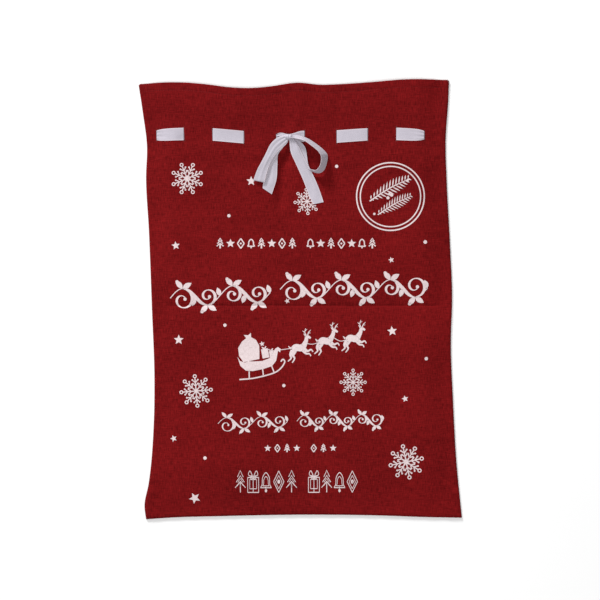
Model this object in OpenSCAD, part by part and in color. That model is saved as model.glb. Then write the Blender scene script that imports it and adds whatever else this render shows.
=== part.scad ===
// Fabric gift sack with a ribbon drawn through slits at its neck and tied in a bow.
// It lies flat on its back panel: X across the sack, +Y to the mouth, +Z up out of the front panel.
// A crease half way up divides it into a lower and an upper half, where it folds for storage.

/* [Sack] */
// Width from corner to corner
sack_w = 523; // [420:1:640]
// Height from the bottom seam to the highest point of the mouth
sack_h = 708; // [560:1:860]
// Thickness of the cloth
cloth_t = 0.8; // [0.5:0.1:1.2]
// How far the front panel rises from its seams, as the empty sack lies
rise = 6.1; // [5.5:0.1:20]
// Width of the slope between a seam and the full rise
slope_w = 45; // [30:1:80]
// How far below the middle of its height the sack is creased
crease_drop = 9; // [0:1:60]

/* [Seams and hem] */
// Width of the turned hem at the mouth
hem_w = 14; // [9:0.5:25]
// Distance from the mouth's edge to the row of hem stitches
hem_stitch_inset = 11.5; // [5:0.5:20]
// Width of the seam allowance inside the sides and the bottom
seam_w = 10; // [6:0.5:14]
// Thickness of the sewing thread
thread_t = 0.4; // [0.2:0.05:0.6]
// Width of the thread that binds a raw edge
overlock_w = 0.6; // [0.4:0.1:1.2]

/* [Ribbon] */
// Width of the ribbon
ribbon_w = 20; // [12:0.5:26]
// Thickness of the ribbon
ribbon_t = 0.4; // [0.2:0.1:0.8]
// Distance from the mouth to the middle of the ribbon
neck_drop = 88; // [50:1:130]
// How much longer a slit is than the ribbon is wide
slit_spare = 3; // [2:0.5:8]
// How wide a slit gapes
slit_gap = 3; // [3:0.1:5]
// Thickness of the stitching round a slit
slit_stitch_t = 0.3; // [0.2:0.05:0.4]
// Width of the stitching round a slit
slit_stitch_w = 1.2; // [0.8:0.1:1.6]

/* [Bow] */
// Radius of the knot
knot_r = 4; // [3:0.1:6]
// Length of the knot across the sack
knot_w = 12; // [9:0.5:16]
// Height of the side loop that stands on its edge
ring_h = 15; // [10:0.5:18]
// Height of the flattened loop
loop_h = 6; // [4:0.5:10]
// Clearance between pieces that move apart
gap = 0.4; // [0.3:0.05:0.6]

/* [Hidden] */

red = "#74181a";
thread_red = "#5c1214";
ribbon_white = "#dcd8e0";

half_w = sack_w / 2;
half_h = sack_h / 2;
skim = 0.05;
clear = 0.3;
spare = 20;
far = 2 * sack_h;
crease_y = -crease_drop;

// Each side edge runs in from the corners: share of the height, then inset from half the width.
left_inset = [
    [0, 13], [0.03, 10.5], [0.08, 17], [0.22, 25.5], [0.32, 26.5], [0.48, 22.5],
    [0.66, 17.5], [0.78, 13], [0.85, 14.5], [0.93, 7.5], [1, 0]
];
right_inset = [
    [0, 0], [0.13, 9], [0.27, 14.5], [0.4, 18], [0.51, 16], [0.63, 19.5],
    [0.78, 25], [0.86, 26.5], [0.96, 22], [1, 21]
];
deepest_inset = 28;
deepest_rise = 9;

// The mouth and the bottom wave a little: share of the width, then the drop or the rise.
mouth_drop = [
    [0, 7], [0.05, 5.5], [0.15, 5], [0.22, 8], [0.29, 12.5], [0.36, 14], [0.43, 11],
    [0.51, 5.5], [0.59, 8.5], [0.65, 7.5], [0.77, 3.5], [0.85, 0], [1, 0]
];
bottom_rise = [
    [0, 0], [0.09, 3], [0.23, 5], [0.53, 7.5], [0.75, 6], [0.89, 3.5], [1, 2.5]
];

function y_at(t) = -half_h + t * sack_h;
function left_x(t) = -half_w + lookup(t, left_inset);
function right_x(t) = half_w - lookup(t, right_inset);
mouth_left = left_x(1);
mouth_right = right_x(1);
bottom_left = left_x(0);
bottom_right = right_x(0);
function mouth_y(x) = half_h - lookup((x - mouth_left) / (mouth_right - mouth_left), mouth_drop);
function bottom_y(x) =
    -half_h + lookup((x - bottom_left) / (bottom_right - bottom_left), bottom_rise);

// Heights, from the ground up
allowance_top = 3 * cloth_t;
low_under = allowance_top + thread_t + clear;
full_under = low_under + rise;
full_top = full_under + cloth_t;
seam_x = half_w - deepest_inset;
seam_y = half_h - deepest_rise;
slope_steps = 8;

function eased(u) = (1 - cos(180 * min(1, max(0, u)))) / 2;
function under_x(x) = low_under + rise * eased((seam_x - abs(x)) / slope_w);
function under_y(y) = low_under + rise * eased((y + seam_y) / slope_w);

// The ten slits stand in pairs: share of half the width from the middle.
slit_shares = [-0.884, -0.716, -0.538, -0.346, -0.145, 0.028, 0.227, 0.417, 0.594, 0.766];
slits = [for (s = slit_shares) s * half_w];
slit_l = ribbon_w + slit_spare;
neck_y = half_h - neck_drop;

// The ribbon's run outside and inside each panel, as the height of its middle
front_out = cloth_t + slit_stitch_t + skim + ribbon_t / 2;
front_in = -skim - ribbon_t / 2;
back_out = ribbon_t / 2;
back_in = cloth_t + slit_stitch_t + skim + ribbon_t / 2;
pocket_z = ribbon_t + skim;
band_top = full_top + slit_stitch_t + skim + ribbon_t;

knot_share = -0.071;
knot_drop = 4;
knot_x = knot_share * half_w;
knot_y = neck_y - knot_drop;
knot_z = band_top + knot_r;
bow_root = knot_r + 1;
lower_z = band_top + gap;
upper_z = lower_z + ribbon_t + gap;

// Centrelines in the bow, from the knot: across, along, then the width as a share of the ribbon's.
// They are drawn for one width of ribbon, and a wider one ties a bow that is larger in proportion.
drawn_ribbon_w = 20;
bow_scale = ribbon_w / drawn_ribbon_w;
left_tail_line = [[-7, -8, 0.4], [-20, -26, 0.5], [-27, -48, 0.95], [-30, -70, 0.95], [-34, -87, 0.9]];
left_loop_line = [[-9, -8, 0.5], [-20, -17, 0.75], [-30, -33, 0.8], [-39, -50, 0.8], [-47, -70, 0.85]];
right_tail_line = [[7, -8, 0.55], [15, -24, 1], [23, -44, 1], [32, -66, 0.9], [48, -106, 0.9]];
return_line = [[7, -8, 0.5], [17, -24, 0.8], [30, -44, 0.7], [44, -57, 0.4]];
ring_line = [
    [21, -4], [28, -5], [39, -12], [48, -20], [55, -27], [57.5, -33], [57, -40],
    [54.5, -49], [49, -55], [45, -57], [41, -56.5]
];

function unit(v) = v / norm(v);
function side_way(line, i) =
    let (a = line[max(0, i - 1)], b = line[min(len(line) - 1, i + 1)], d = unit([b[0] - a[0], b[1] - a[1]]))
    [-d[1], d[0]];
// A strip of the given widths along a line, as one outline
function strip(line, widths) =
    concat(
        [for (i = [0 : len(line) - 1]) [line[i][0], line[i][1]] + side_way(line, i) * widths[i] / 2],
        [for (i = [len(line) - 1 : -1 : 0]) [line[i][0], line[i][1]] - side_way(line, i) * widths[i] / 2]
    );
function ribbon_widths(line) = [for (p = line) p[2] * ribbon_w];
function scaled(line) = [for (p = line) [p[0] * bow_scale, p[1] * bow_scale]];

// Outlines seen from above
module sack_outline() {
    polygon(concat(
        [[bottom_left, bottom_y(bottom_left)]],
        [for (k = left_inset) if (k[0] > 0 && k[0] < 1) [left_x(k[0]), y_at(k[0])]],
        [for (k = mouth_drop) let (x = mouth_left + k[0] * (mouth_right - mouth_left)) [x, mouth_y(x)]],
        [for (i = [len(right_inset) - 2 : -1 : 1]) [right_x(right_inset[i][0]), y_at(right_inset[i][0])]],
        [for (i = [len(bottom_rise) - 1 : -1 : 1])
            let (x = bottom_left + bottom_rise[i][0] * (bottom_right - bottom_left)) [x, bottom_y(x)]]
    ));
}

edge_steps = 24;
// The side allowances start above the bottom one, and stop where the hem begins.
side_gap = 3;
side_start = (bottom_rise[3][1] + seam_w + side_gap) / sack_h;
side_end = 1 - (mouth_drop[5][1] + hem_w) / sack_h;
module side_strip(side, from, to) {
    ts = [for (i = [0 : edge_steps]) side_start + (side_end - side_start) * i / edge_steps];
    polygon(concat(
        [for (t = ts) [side < 0 ? left_x(t) + from : right_x(t) - from, y_at(t)]],
        [for (i = [edge_steps : -1 : 0])
            let (t = ts[i]) [side < 0 ? left_x(t) + to : right_x(t) - to, y_at(t)]]
    ));
}

// A strip along the mouth or the bottom, between two distances from that edge
module cross_strip(at_mouth, ends, from, to) {
    x0 = (at_mouth ? mouth_left : bottom_left) + ends;
    x1 = (at_mouth ? mouth_right : bottom_right) - ends;
    xs = [for (i = [0 : edge_steps]) x0 + (x1 - x0) * i / edge_steps];
    polygon(concat(
        [for (x = xs) [x, at_mouth ? mouth_y(x) - from : bottom_y(x) + from]],
        [for (i = [edge_steps : -1 : 0]) let (x = xs[i]) [x, at_mouth ? mouth_y(x) - to : bottom_y(x) + to]]
    ));
}

// All that is below the front panel's lower face, raised by h
module below_front(h) {
    across = [for (i = [0 : slope_steps]) let (x = seam_x - slope_w * i / slope_steps) [x, under_x(x) + h]];
    along = [for (i = [0 : slope_steps]) let (y = -seam_y + slope_w * i / slope_steps) [y, under_y(y) + h]];
    intersection() {
        rotate([90, 0, 0])
            linear_extrude(height = far, center = true)
                polygon(concat(
                    [[half_w + spare, -spare], [half_w + spare, low_under + h]],
                    across,
                    [for (i = [slope_steps : -1 : 0]) [-across[i][0], across[i][1]]],
                    [[-half_w - spare, low_under + h], [-half_w - spare, -spare]]
                ));
        rotate([90, 0, 90])
            linear_extrude(height = far, center = true)
                polygon(concat(
                    [[-half_h - spare, -spare], [-half_h - spare, low_under + h]],
                    along,
                    [[half_h + spare, full_under + h], [half_h + spare, -spare]]
                ));
    }
}

// A layer that follows the front panel, between two heights over its lower face
module front_layer(from, to) {
    intersection() {
        translate([0, 0, -1]) linear_extrude(height = full_top + spare) children();
        difference() {
            below_front(to);
            below_front(from);
        }
    }
}

module flat_layer(from, to) {
    translate([0, 0, from]) linear_extrude(height = to - from) children();
}

module slit_cuts() {
    for (x = slits)
        translate([x - slit_gap / 2, neck_y - slit_l / 2, -1])
            cube([slit_gap, slit_l, full_top + 2]);
}

// The row of stitching frames, one round each slit
module slit_frames() {
    for (x = slits)
        translate([x, neck_y])
            difference() {
                square([slit_gap + 2 * slit_stitch_w, slit_l + 2 * slit_stitch_w], center = true);
                square([slit_gap, slit_l], center = true);
            }
}

// A ribbon that weaves through the slits: path holds [x, height] pairs
module woven(path) {
    up = [for (p = path) [p[0], p[1] + ribbon_t / 2]];
    down = [for (i = [len(path) - 1 : -1 : 0]) [path[i][0], path[i][1] - ribbon_t / 2]];
    translate([0, neck_y, 0])
        rotate([90, 0, 0])
            linear_extrude(height = ribbon_w, center = true)
                polygon(concat(up, down));
}

reach = slit_gap / 2 - ribbon_t * 0.75;
run_steps = 6;
// A run over or under the front panel from one slit to the next
function front_run(a, b, level) =
    [for (i = [0 : run_steps]) let (x = a + (b - a) * i / run_steps) [x, under_x(x) + level]];
function back_run(a, b, level) = [[a, level], [b, level]];

// Keeps what lies on one side of the crease
module half_of_sack(upper) {
    intersection() {
        children();
        translate([-far / 2, upper ? crease_y + gap / 2 : crease_y - gap / 2 - far, -1])
            cube([far, far, full_top + 2]);
    }
}

module back_panel(upper) {
    color(red)
        half_of_sack(upper)
            difference() {
                union() {
                    flat_layer(0, cloth_t) sack_outline();
                    for (i = [0 : 2 : len(slits) - 1]) raised_cloth(slits[i], slits[i + 1]);
                }
                slit_cuts();
                for (i = [0 : 2 : len(slits) - 1])
                    translate([slits[i], neck_y - slit_l / 2, -1])
                        cube([slits[i + 1] - slits[i], slit_l, 1 + pocket_z]);
            }
}

// The back panel bridges each outer run of its ribbon, so that the run lies level with the cloth.
module raised_cloth(a, b) {
    margin = slit_gap / 2 + slit_stitch_w + clear;
    translate([a + margin, neck_y - slit_l / 2 - 1, cloth_t / 2])
        cube([b - a - 2 * margin, slit_l + 2, cloth_t / 2 + pocket_z]);
}

module front_panel(upper) {
    color(red)
        half_of_sack(upper)
            difference() {
                front_layer(0, cloth_t) sack_outline();
                slit_cuts();
            }
}

// The hems stop short of the side seams, and start just behind the mouth's folded edge.
hem_clear = 12;
hem_ends = seam_w + overlock_w + hem_clear;
hem_setback = 1;
module back_hem() {
    color(red) flat_layer(cloth_t, 2 * cloth_t) cross_strip(true, hem_ends, hem_setback, hem_w);
}
module front_hem() {
    color(red) front_layer(-cloth_t, 0) cross_strip(true, hem_ends, hem_setback, hem_w);
}

seam_setback = 0.5;
bottom_ends = 3;
// side is -1 on the left and 1 on the right
module side_seam(side, upper) {
    color(red)
        half_of_sack(upper)
            flat_layer(cloth_t, allowance_top) side_strip(side, seam_setback, seam_w);
}
module bottom_seam() {
    color(red)
        flat_layer(cloth_t, allowance_top) cross_strip(false, bottom_ends, seam_setback, seam_w);
}

thread_top = allowance_top + thread_t;
thread_inset = 1.5;
module side_thread(side, upper) {
    color(thread_red)
        half_of_sack(upper)
            flat_layer(allowance_top, thread_top)
                side_strip(side, thread_inset, thread_inset + thread_t);
}
module bottom_thread() {
    color(thread_red)
        flat_layer(allowance_top, thread_top)
            cross_strip(false, bottom_ends, thread_inset, thread_inset + thread_t);
}

module side_overlock(side, upper) {
    color(thread_red)
        half_of_sack(upper)
            flat_layer(cloth_t, allowance_top) side_strip(side, seam_w, seam_w + overlock_w);
}
module bottom_overlock() {
    color(thread_red)
        flat_layer(cloth_t, allowance_top)
            cross_strip(false, bottom_ends, seam_w, seam_w + overlock_w);
}

module back_hem_thread() {
    color(thread_red)
        flat_layer(2 * cloth_t, 2 * cloth_t + thread_t)
            cross_strip(true, hem_ends, hem_stitch_inset, hem_stitch_inset + thread_t);
}
module front_hem_thread() {
    color(thread_red)
        front_layer(cloth_t, cloth_t + thread_t)
            cross_strip(true, hem_ends, hem_stitch_inset, hem_stitch_inset + thread_t);
}

module back_slit_stitching() {
    color(thread_red) flat_layer(cloth_t, cloth_t + slit_stitch_t) slit_frames();
}
module front_slit_stitching() {
    color(thread_red) front_layer(cloth_t, cloth_t + slit_stitch_t) slit_frames();
}

// The ribbon stops clear of the side seams, whose edges lean a little over its width.
ribbon_clear = 2.5;
ribbon_end = seam_w + overlock_w + ribbon_clear;
neck_t = (neck_y + half_h) / sack_h;
ribbon_left = left_x(neck_t) + ribbon_end;
ribbon_right = right_x(neck_t) - ribbon_end;

module back_ribbon() {
    middle = [for (i = [0 : len(slits) - 2])
        for (p = back_run(slits[i] + reach, slits[i + 1] - reach, i % 2 == 0 ? back_out : back_in)) p];
    color(ribbon_white)
        woven(concat(
            back_run(ribbon_left, slits[0] - reach, back_in),
            middle,
            back_run(slits[9] + reach, ribbon_right, back_in)
        ));
}
module front_ribbon_left() {
    color(ribbon_white)
        woven(concat(
            front_run(ribbon_left, slits[0] - reach, front_in),
            front_run(slits[0] + reach, slits[1] - reach, front_out),
            front_run(slits[1] + reach, slits[2] - reach, front_in),
            front_run(slits[2] + reach, slits[3] - reach, front_out),
            front_run(slits[3] + reach, slits[4] - reach, front_in),
            front_run(slits[4] + reach, knot_x, front_out)
        ));
}
module front_ribbon_right() {
    color(ribbon_white)
        woven(concat(
            front_run(knot_x, slits[5] - reach, front_out),
            front_run(slits[5] + reach, slits[6] - reach, front_in),
            front_run(slits[6] + reach, slits[7] - reach, front_out),
            front_run(slits[7] + reach, slits[8] - reach, front_in),
            front_run(slits[8] + reach, slits[9] - reach, front_out),
            front_run(slits[9] + reach, ribbon_right, front_in)
        ));
}

module bow_knot() {
    shoulder = 1.5;
    color(ribbon_white)
        translate([knot_x, knot_y, knot_z])
            rotate([0, 90, 0])
                rotate_extrude($fn = 48)
                    polygon([
                        [0, -knot_w / 2], [knot_r * 0.8, -knot_w / 2], [knot_r, -knot_w / 2 + shoulder],
                        [knot_r, knot_w / 2 - shoulder], [knot_r * 0.8, knot_w / 2], [0, knot_w / 2]
                    ]);
}

module from_knot(z) {
    translate([knot_x, knot_y, z]) children();
}

module left_tail() {
    color(ribbon_white)
        from_knot(lower_z)
            linear_extrude(height = ribbon_t)
                polygon(strip(scaled(left_tail_line), ribbon_widths(left_tail_line)));
}

module right_tail() {
    color(ribbon_white)
        from_knot(upper_z)
            linear_extrude(height = ribbon_t)
                polygon(strip(scaled(right_tail_line), ribbon_widths(right_tail_line)));
}

// The flattened loop: the ribbon goes out low, turns round its end and comes back higher up.
module left_loop() {
    loop_end = left_loop_line[4] * bow_scale;
    loop_way = atan2(loop_end[1], loop_end[0]);
    loop_l = norm([loop_end[0], loop_end[1]]) - loop_h / 2;
    turn_r = (loop_h - ribbon_t) / 2 - 0.5;
    side_line = concat(
        [[bow_root + 1, ribbon_t / 2], [loop_l, ribbon_t / 2]],
        [for (a = [-60 : 30 : 60]) [loop_l + turn_r * cos(a), ribbon_t / 2 + turn_r * (1 + sin(a))]],
        [[loop_l, ribbon_t / 2 + 2 * turn_r], [loop_l * 0.6, loop_h - ribbon_t / 2],
         [loop_l * 0.3, loop_h * 0.75], [bow_root + 1, ribbon_t * 1.5 + 0.6]]
    );
    color(ribbon_white)
        from_knot(upper_z)
            intersection() {
                linear_extrude(height = 2 * loop_h)
                    polygon(strip(scaled(left_loop_line), ribbon_widths(left_loop_line)));
                rotate([0, 0, loop_way])
                    rotate([90, 0, 0])
                        linear_extrude(height = 4 * ribbon_w, center = true)
                            polygon(strip(side_line, [for (p = side_line) ribbon_t]));
            }
}

// The open loop stands on its edge, and its end runs back to the knot under the right tail.
module right_loop() {
    color(ribbon_white)
        from_knot(lower_z)
            union() {
                linear_extrude(height = ring_h)
                    polygon(strip(scaled(ring_line), [for (p = ring_line) 1.5 * ribbon_t]));
                linear_extrude(height = ribbon_t)
                    polygon(strip(scaled(return_line), ribbon_widths(return_line)));
            }
}

back_panel(false);  // lower_back_panel
back_panel(true);  // upper_back_panel
front_panel(false);  // lower_front_panel
front_panel(true);  // upper_front_panel
back_hem();
front_hem();
side_seam(-1, false);  // lower_left_seam
side_seam(-1, true);  // upper_left_seam
side_seam(1, false);  // lower_right_seam
side_seam(1, true);  // upper_right_seam
bottom_seam();
side_thread(-1, false);  // lower_left_thread
side_thread(-1, true);  // upper_left_thread
side_thread(1, false);  // lower_right_thread
side_thread(1, true);  // upper_right_thread
bottom_thread();
side_overlock(-1, false);  // lower_left_overlock
side_overlock(-1, true);  // upper_left_overlock
side_overlock(1, false);  // lower_right_overlock
side_overlock(1, true);  // upper_right_overlock
bottom_overlock();
back_hem_thread();
front_hem_thread();
back_slit_stitching();
front_slit_stitching();
back_ribbon();
front_ribbon_left();
front_ribbon_right();
bow_knot();
left_loop();
right_loop();
left_tail();
right_tail();
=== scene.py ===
# %% [markdown]
# # A fabric gift sack with a ribbon through its neck
#
# The sack is cut from red slub linen: a back panel and a front panel, sewn together inside out along
# both sides and the bottom, then turned. A white ribbon weaves through slits below the mouth and is
# tied in a bow. The front is printed in pinkish white. The sack lies flat on its back, as it comes
# out of a drawer, so a storage crease still crosses it half way up.
#
# Nearly all of it is soft, so the frame gives the places and the joints, and every piece that shows
# is made here. All sizes are in millimetres, and a helper turns them into metres at the end.

# %% Load the frame
import math

import bpy
import numpy as np
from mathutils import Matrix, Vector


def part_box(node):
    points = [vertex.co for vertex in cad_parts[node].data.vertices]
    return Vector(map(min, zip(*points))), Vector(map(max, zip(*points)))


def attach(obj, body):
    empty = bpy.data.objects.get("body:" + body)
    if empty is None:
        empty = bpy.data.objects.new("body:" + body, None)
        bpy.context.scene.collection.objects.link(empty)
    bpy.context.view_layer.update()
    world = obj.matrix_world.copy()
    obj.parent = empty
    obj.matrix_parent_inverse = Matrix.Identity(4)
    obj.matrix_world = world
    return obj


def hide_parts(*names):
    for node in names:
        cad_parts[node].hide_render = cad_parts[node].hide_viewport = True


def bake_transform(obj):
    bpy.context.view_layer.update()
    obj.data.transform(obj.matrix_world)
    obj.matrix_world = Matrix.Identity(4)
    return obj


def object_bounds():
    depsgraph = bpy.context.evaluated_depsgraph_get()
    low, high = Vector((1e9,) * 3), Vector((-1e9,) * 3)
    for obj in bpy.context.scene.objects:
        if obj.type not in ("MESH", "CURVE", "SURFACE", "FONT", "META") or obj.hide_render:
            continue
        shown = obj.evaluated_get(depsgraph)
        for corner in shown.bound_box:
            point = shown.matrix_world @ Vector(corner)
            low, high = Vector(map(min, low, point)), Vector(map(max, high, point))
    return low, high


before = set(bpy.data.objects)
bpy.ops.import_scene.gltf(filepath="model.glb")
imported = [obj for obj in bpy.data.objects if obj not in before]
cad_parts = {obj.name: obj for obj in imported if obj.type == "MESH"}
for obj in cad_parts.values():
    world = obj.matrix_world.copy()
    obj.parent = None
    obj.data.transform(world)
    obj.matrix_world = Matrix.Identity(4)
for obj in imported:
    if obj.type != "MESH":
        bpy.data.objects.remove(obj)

cad_low, cad_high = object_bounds()
MM = 0.001
print("CAD box", tuple(cad_low), tuple(cad_high))

# %% [markdown]
# ## Sizes that come from the frame
#
# The panels give the height, the storage crease and the heights of the cloth. The bow's knot gives
# the point that the loops and tails hang from. Reading them here keeps every soft piece on its CAD
# solid if the sack is packed again at another size.

# %% Sizes
def node_box(name):
    low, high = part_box(name)
    return np.array(low) / MM, np.array(high) / MM


lower_low, lower_high = node_box("lower_back_panel")
upper_low, upper_high = node_box("upper_back_panel")
front_low, front_high = node_box("lower_front_panel")
half_w = (cad_high[0] - cad_low[0]) / MM / 2
bottom = lower_low[1]
mouth = upper_high[1]
height = mouth - bottom
crease = (lower_high[1] + upper_low[1]) / 2
cloth = 0.8  # thickness of the linen
seam_top = front_low[2] + cloth
swell_top = front_high[2]
neck = sum(node_box("back_ribbon")[i][1] for i in (0, 1)) / 2
knot = sum(node_box("bow_knot")) / 2
print("crease at", round(crease, 2), "neck at", round(neck, 2), "knot at", knot.round(2))

# %% [markdown]
# ## The outline
#
# Nothing about an empty sack is straight. Its sides pull in at the waist and its mouth waves, so
# each edge is a smooth curve through a few knots: the share of the way along, then how far the edge
# stands in from the straight line.

# %% Outline
left_inset = [
    [0, 13], [0.03, 10.5], [0.08, 17], [0.22, 25.5], [0.32, 26.5], [0.48, 22.5],
    [0.66, 17.5], [0.78, 13], [0.85, 14.5], [0.93, 7.5], [1, 0],
]
right_inset = [
    [0, 0], [0.13, 9], [0.27, 14.5], [0.4, 18], [0.51, 16], [0.63, 19.5],
    [0.78, 25], [0.86, 26.5], [0.96, 22], [1, 21],
]
mouth_drop = [
    [0, 7], [0.05, 5.5], [0.15, 5], [0.22, 8], [0.29, 12.5], [0.36, 14], [0.43, 11],
    [0.51, 5.5], [0.59, 8.5], [0.65, 7.5], [0.77, 3.5], [0.85, 0], [1, 0],
]
bottom_rise = [[0, 0], [0.09, 3], [0.23, 5], [0.53, 7.5], [0.75, 6], [0.89, 3.5], [1, 2.5]]


# %% Smooth curves
def through(knots, t):
    """A smooth curve through knots of [place, value], read at each place in t."""
    places, values = np.array(knots, float).T
    slopes = np.gradient(values, places)
    t = np.clip(np.asarray(t, float), places[0], places[-1])
    i = np.clip(np.searchsorted(places, t, side="right") - 1, 0, len(places) - 2)
    gap = places[i + 1] - places[i]
    s = (t - places[i]) / gap
    return (
        values[i] * (1 + 2 * s) * (1 - s) ** 2 + values[i + 1] * s * s * (3 - 2 * s)
        + gap * s * (1 - s) * (slopes[i] * (1 - s) - slopes[i + 1] * s)
    )


def step(t):
    """0 below 0, 1 above 1, and a soft turn between."""
    t = np.clip(t, 0, 1)
    return t * t * (3 - 2 * t)


# %% Edges of the sack
def left_edge(y):
    return -half_w + through(left_inset, (y - bottom) / height)


def right_edge(y):
    return half_w - through(right_inset, (y - bottom) / height)


def share_across(x, y):
    return (x - left_edge(y)) / (right_edge(y) - left_edge(y))


def mouth_line(share):
    return mouth - through(mouth_drop, share)


def bottom_line(share):
    return bottom + through(bottom_rise, share)


def lay(share, row):
    """Where a thread lies: rows are straight in the middle, and follow the mouth and the bottom."""
    above_ribbon, below_hem = neck + 20, mouth - 18
    near_mouth = step((row - above_ribbon) / (below_hem - above_ribbon))
    near_bottom = 1 - step((row - bottom) / 60)
    y = row - near_mouth * through(mouth_drop, share) + near_bottom * through(bottom_rise, share)
    return left_edge(y) + share * (right_edge(y) - left_edge(y)), y


print("the sack is", round(right_edge(neck) - left_edge(neck)), "mm wide at its neck")

# %% [markdown]
# ## How the front cloth lies
#
# The front could be simulated as cloth, but a simulation gives folds of its own, not the ones that
# storing, knotting and gathering left on this sack. So the lie of the cloth is one height function.
# It rises from the seams to a flat crown, and folds are added one by one, each along a line: the
# storage crease, the pulls at the ribbon's slits and the valley under the knot. Everything on the
# sack, printing included, asks this function where the cloth is.

# %% Folds of the front
# the slits' places, as shares of the half width
slit_shares = [-0.884, -0.716, -0.538, -0.346, -0.145, 0.028, 0.227, 0.417, 0.594, 0.766]
slits = [share * half_w for share in slit_shares]
print(len(slits), "slits, from", round(slits[0]), "to", round(slits[-1]), "mm")

# start, end, height (a valley is below 0), width, and then 1 if it is sharp like a crease
FOLDS = [
    [(-280, crease), (280, crease), -2.6, 11, 1],
    [(-280, crease), (280, crease), -0.5, 1.6, 1],
    [(-4, crease), (-4, mouth), 0.5, 2.6, 1],
    [(-5, crease), (-6, bottom + 40), -0.3, 3, 1],
    [(-229, 262), (-248, 235), -1.4, 7],
    [(-190, 258), (-158, 222), -1.4, 8],
    [(-168, 226), (-84, 214), -1.7, 13],
    [(-26, 250), (-31, 158), -4.6, 10],
    [(-46, 250), (-62, 196), -2.0, 10],
    [(-180, neck), (-75, neck), -3.0, 38],
    [(45, neck), (175, neck), -3.6, 40],
    [(-24, 280), (-34, 330), -1.4, 6],
    [(-5, 280), (4, 338), 1.2, 7],
    [(8, 248), (28, 206), -3.4, 11],
    [(-52, 282), (-72, 322), 1.2, 9],
    [(56, 285), (64, 335), -1.1, 9],
    [(100, 212), (186, 150), -2.2, 26],
    [(206, 258), (236, 236), -1.5, 6],
    [(150, 250), (196, 215), 1.2, 12],
    [(196, 330), (238, 290), -1.3, 14],
    [(-205, 120), (-150, 108), 2.0, 30],
    [(-225, 330), (-160, 300), 1.5, 20],
    [(-120, 60), (-20, 76), 1.2, 22],
    [(90, 40), (190, 62), 1.3, 26],
    [(-200, -70), (-90, -52), 1.3, 24],
    [(60, -60), (190, -84), 1.5, 28],
    [(-170, -170), (-60, -150), -1.3, 22],
    [(40, -190), (150, -176), -1.2, 20],
    [(-150, -262), (-30, -270), 1.3, 22],
    [(196, -250), (242, -304), -1.4, 8],
    [(-205, -280), (-228, -318), -1.1, 9],
    [(30, -300), (60, -345), -1.0, 10],
]


# %% Height of a fold and of a swell
def fold(x, y, start, end, rise, width, power=2):
    way = np.subtract(end, start)
    along = ((x - start[0]) * way[0] + (y - start[1]) * way[1]) / (way @ way)
    t = np.clip(along, 0, 1)
    away = np.hypot(x - start[0] - t * way[0], y - start[1] - t * way[1])
    return rise * np.exp(-((away / width) ** power))


# long, low swells in directions that share no common measure: length, direction, height, start
SWELLS = [
    (212, 0.4, 0.55, 0.3), (157, 1.3, 0.50, 1.9), (118, 2.2, 0.42, 4.1), (89, 0.9, 0.30, 2.6),
    (67, 2.7, 0.21, 5.2), (49, 1.7, 0.13, 0.8),
]


def swell(x, y):
    total = 0
    for length, way, rise, start in SWELLS:
        run = x * math.cos(way) + y * math.sin(way)
        total = total + rise * np.sin(2 * math.pi * run / length + start)
    return total


def edges(x, y):
    """How far a point is from the nearer side seam, from the bottom seam and from the mouth."""
    share = np.clip(share_across(x, y), 0, 1)
    side = np.minimum(x - left_edge(y), right_edge(y) - x)
    return side, y - bottom_line(share), mouth_line(share) - y


# %% Height of the front
SEAM_W = 4  # the flat rim along a seam, and how far it rolls down at its edge
SEAM_ROLL = 2.2
SIDE_SLOPE = 45  # the way that the cloth takes to rise from a side seam, and from the bottom
BOTTOM_SLOPE = 85
LOWEST = 0.6  # how far a fold may sink below the seams
hem_w = 14
hem_stitch = 11.5
STITCH_SINK = 0.45  # how deep the hem's stitches draw the cloth in
PUCKER = 0.45  # the height of the small ripples along a seam
SLIT_PULL = 26  # the ribbon pulls a shallow valley this far to each side of its slit


def front_top(x, y):
    x, y = np.asarray(x, float), np.asarray(y, float)
    side, low, lip = edges(x, y)
    edge = np.maximum(np.minimum(side, low), 0)
    seam = seam_top - SEAM_ROLL * np.clip(1 - edge / SEAM_W, 0, 1) ** 2
    crown = step((side - SEAM_W) / SIDE_SLOPE) * step((low - SEAM_W) / BOTTOM_SLOPE)
    z = seam + (swell_top - seam_top) * crown
    folds = swell(x, y) + sum(fold(x, y, *one) for one in FOLDS)
    for at in slits:
        folds = folds + fold(x, y, (at, neck - SLIT_PULL), (at, neck + SLIT_PULL), -0.5, 5)
    pucker = PUCKER * np.exp(-edge / 13) * np.sin(y / 3.9 + np.sin(y / 17) + x / 5.1)
    z = z + step((edge - 1) / 14) * folds + step((edge - 1) / SEAM_W) * pucker
    z = np.maximum(z, seam - LOWEST)
    stitched = np.exp(-(((lip - hem_stitch) / 1.6) ** 2))
    ripple = 0.12 * np.sin(x / 4.2) * step(1 - lip / 16)
    return z + 0.3 * step((hem_w - lip) / 2) - STITCH_SINK * stitched + ripple


def back_under(x, y):
    """The back lies on the table, but bridges the outer runs of its own ribbon."""
    x, y = np.asarray(x, float), np.asarray(y, float)
    side, low, lip = edges(x, y)
    inside = step((np.minimum(side, low) - 1) / 12)
    bridge = 0
    for a, b in zip(slits[::2], slits[1::2]):
        over = step((x - a) / 2) * step((b - x) / 2) * step((13 - abs(y - neck)) / 2)
        bridge = bridge + 0.55 * over
    return 0.08 + np.maximum(inside * (0.22 + 0.16 * swell(x, y)), 0) + bridge


print("front cloth at the middle", front_top([0, 100], [0, -100]).round(2))

# %% [markdown]
# ## Helpers for sheets
#
# A sheet starts as a grid primitive. Its vertices are then laid by a function of the place across
# and along, as cloth is laid on a form. Its UV map gets the flat place of every point in metres, so
# that a weave keeps its scale and follows the cloth when the sack folds.

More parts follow.
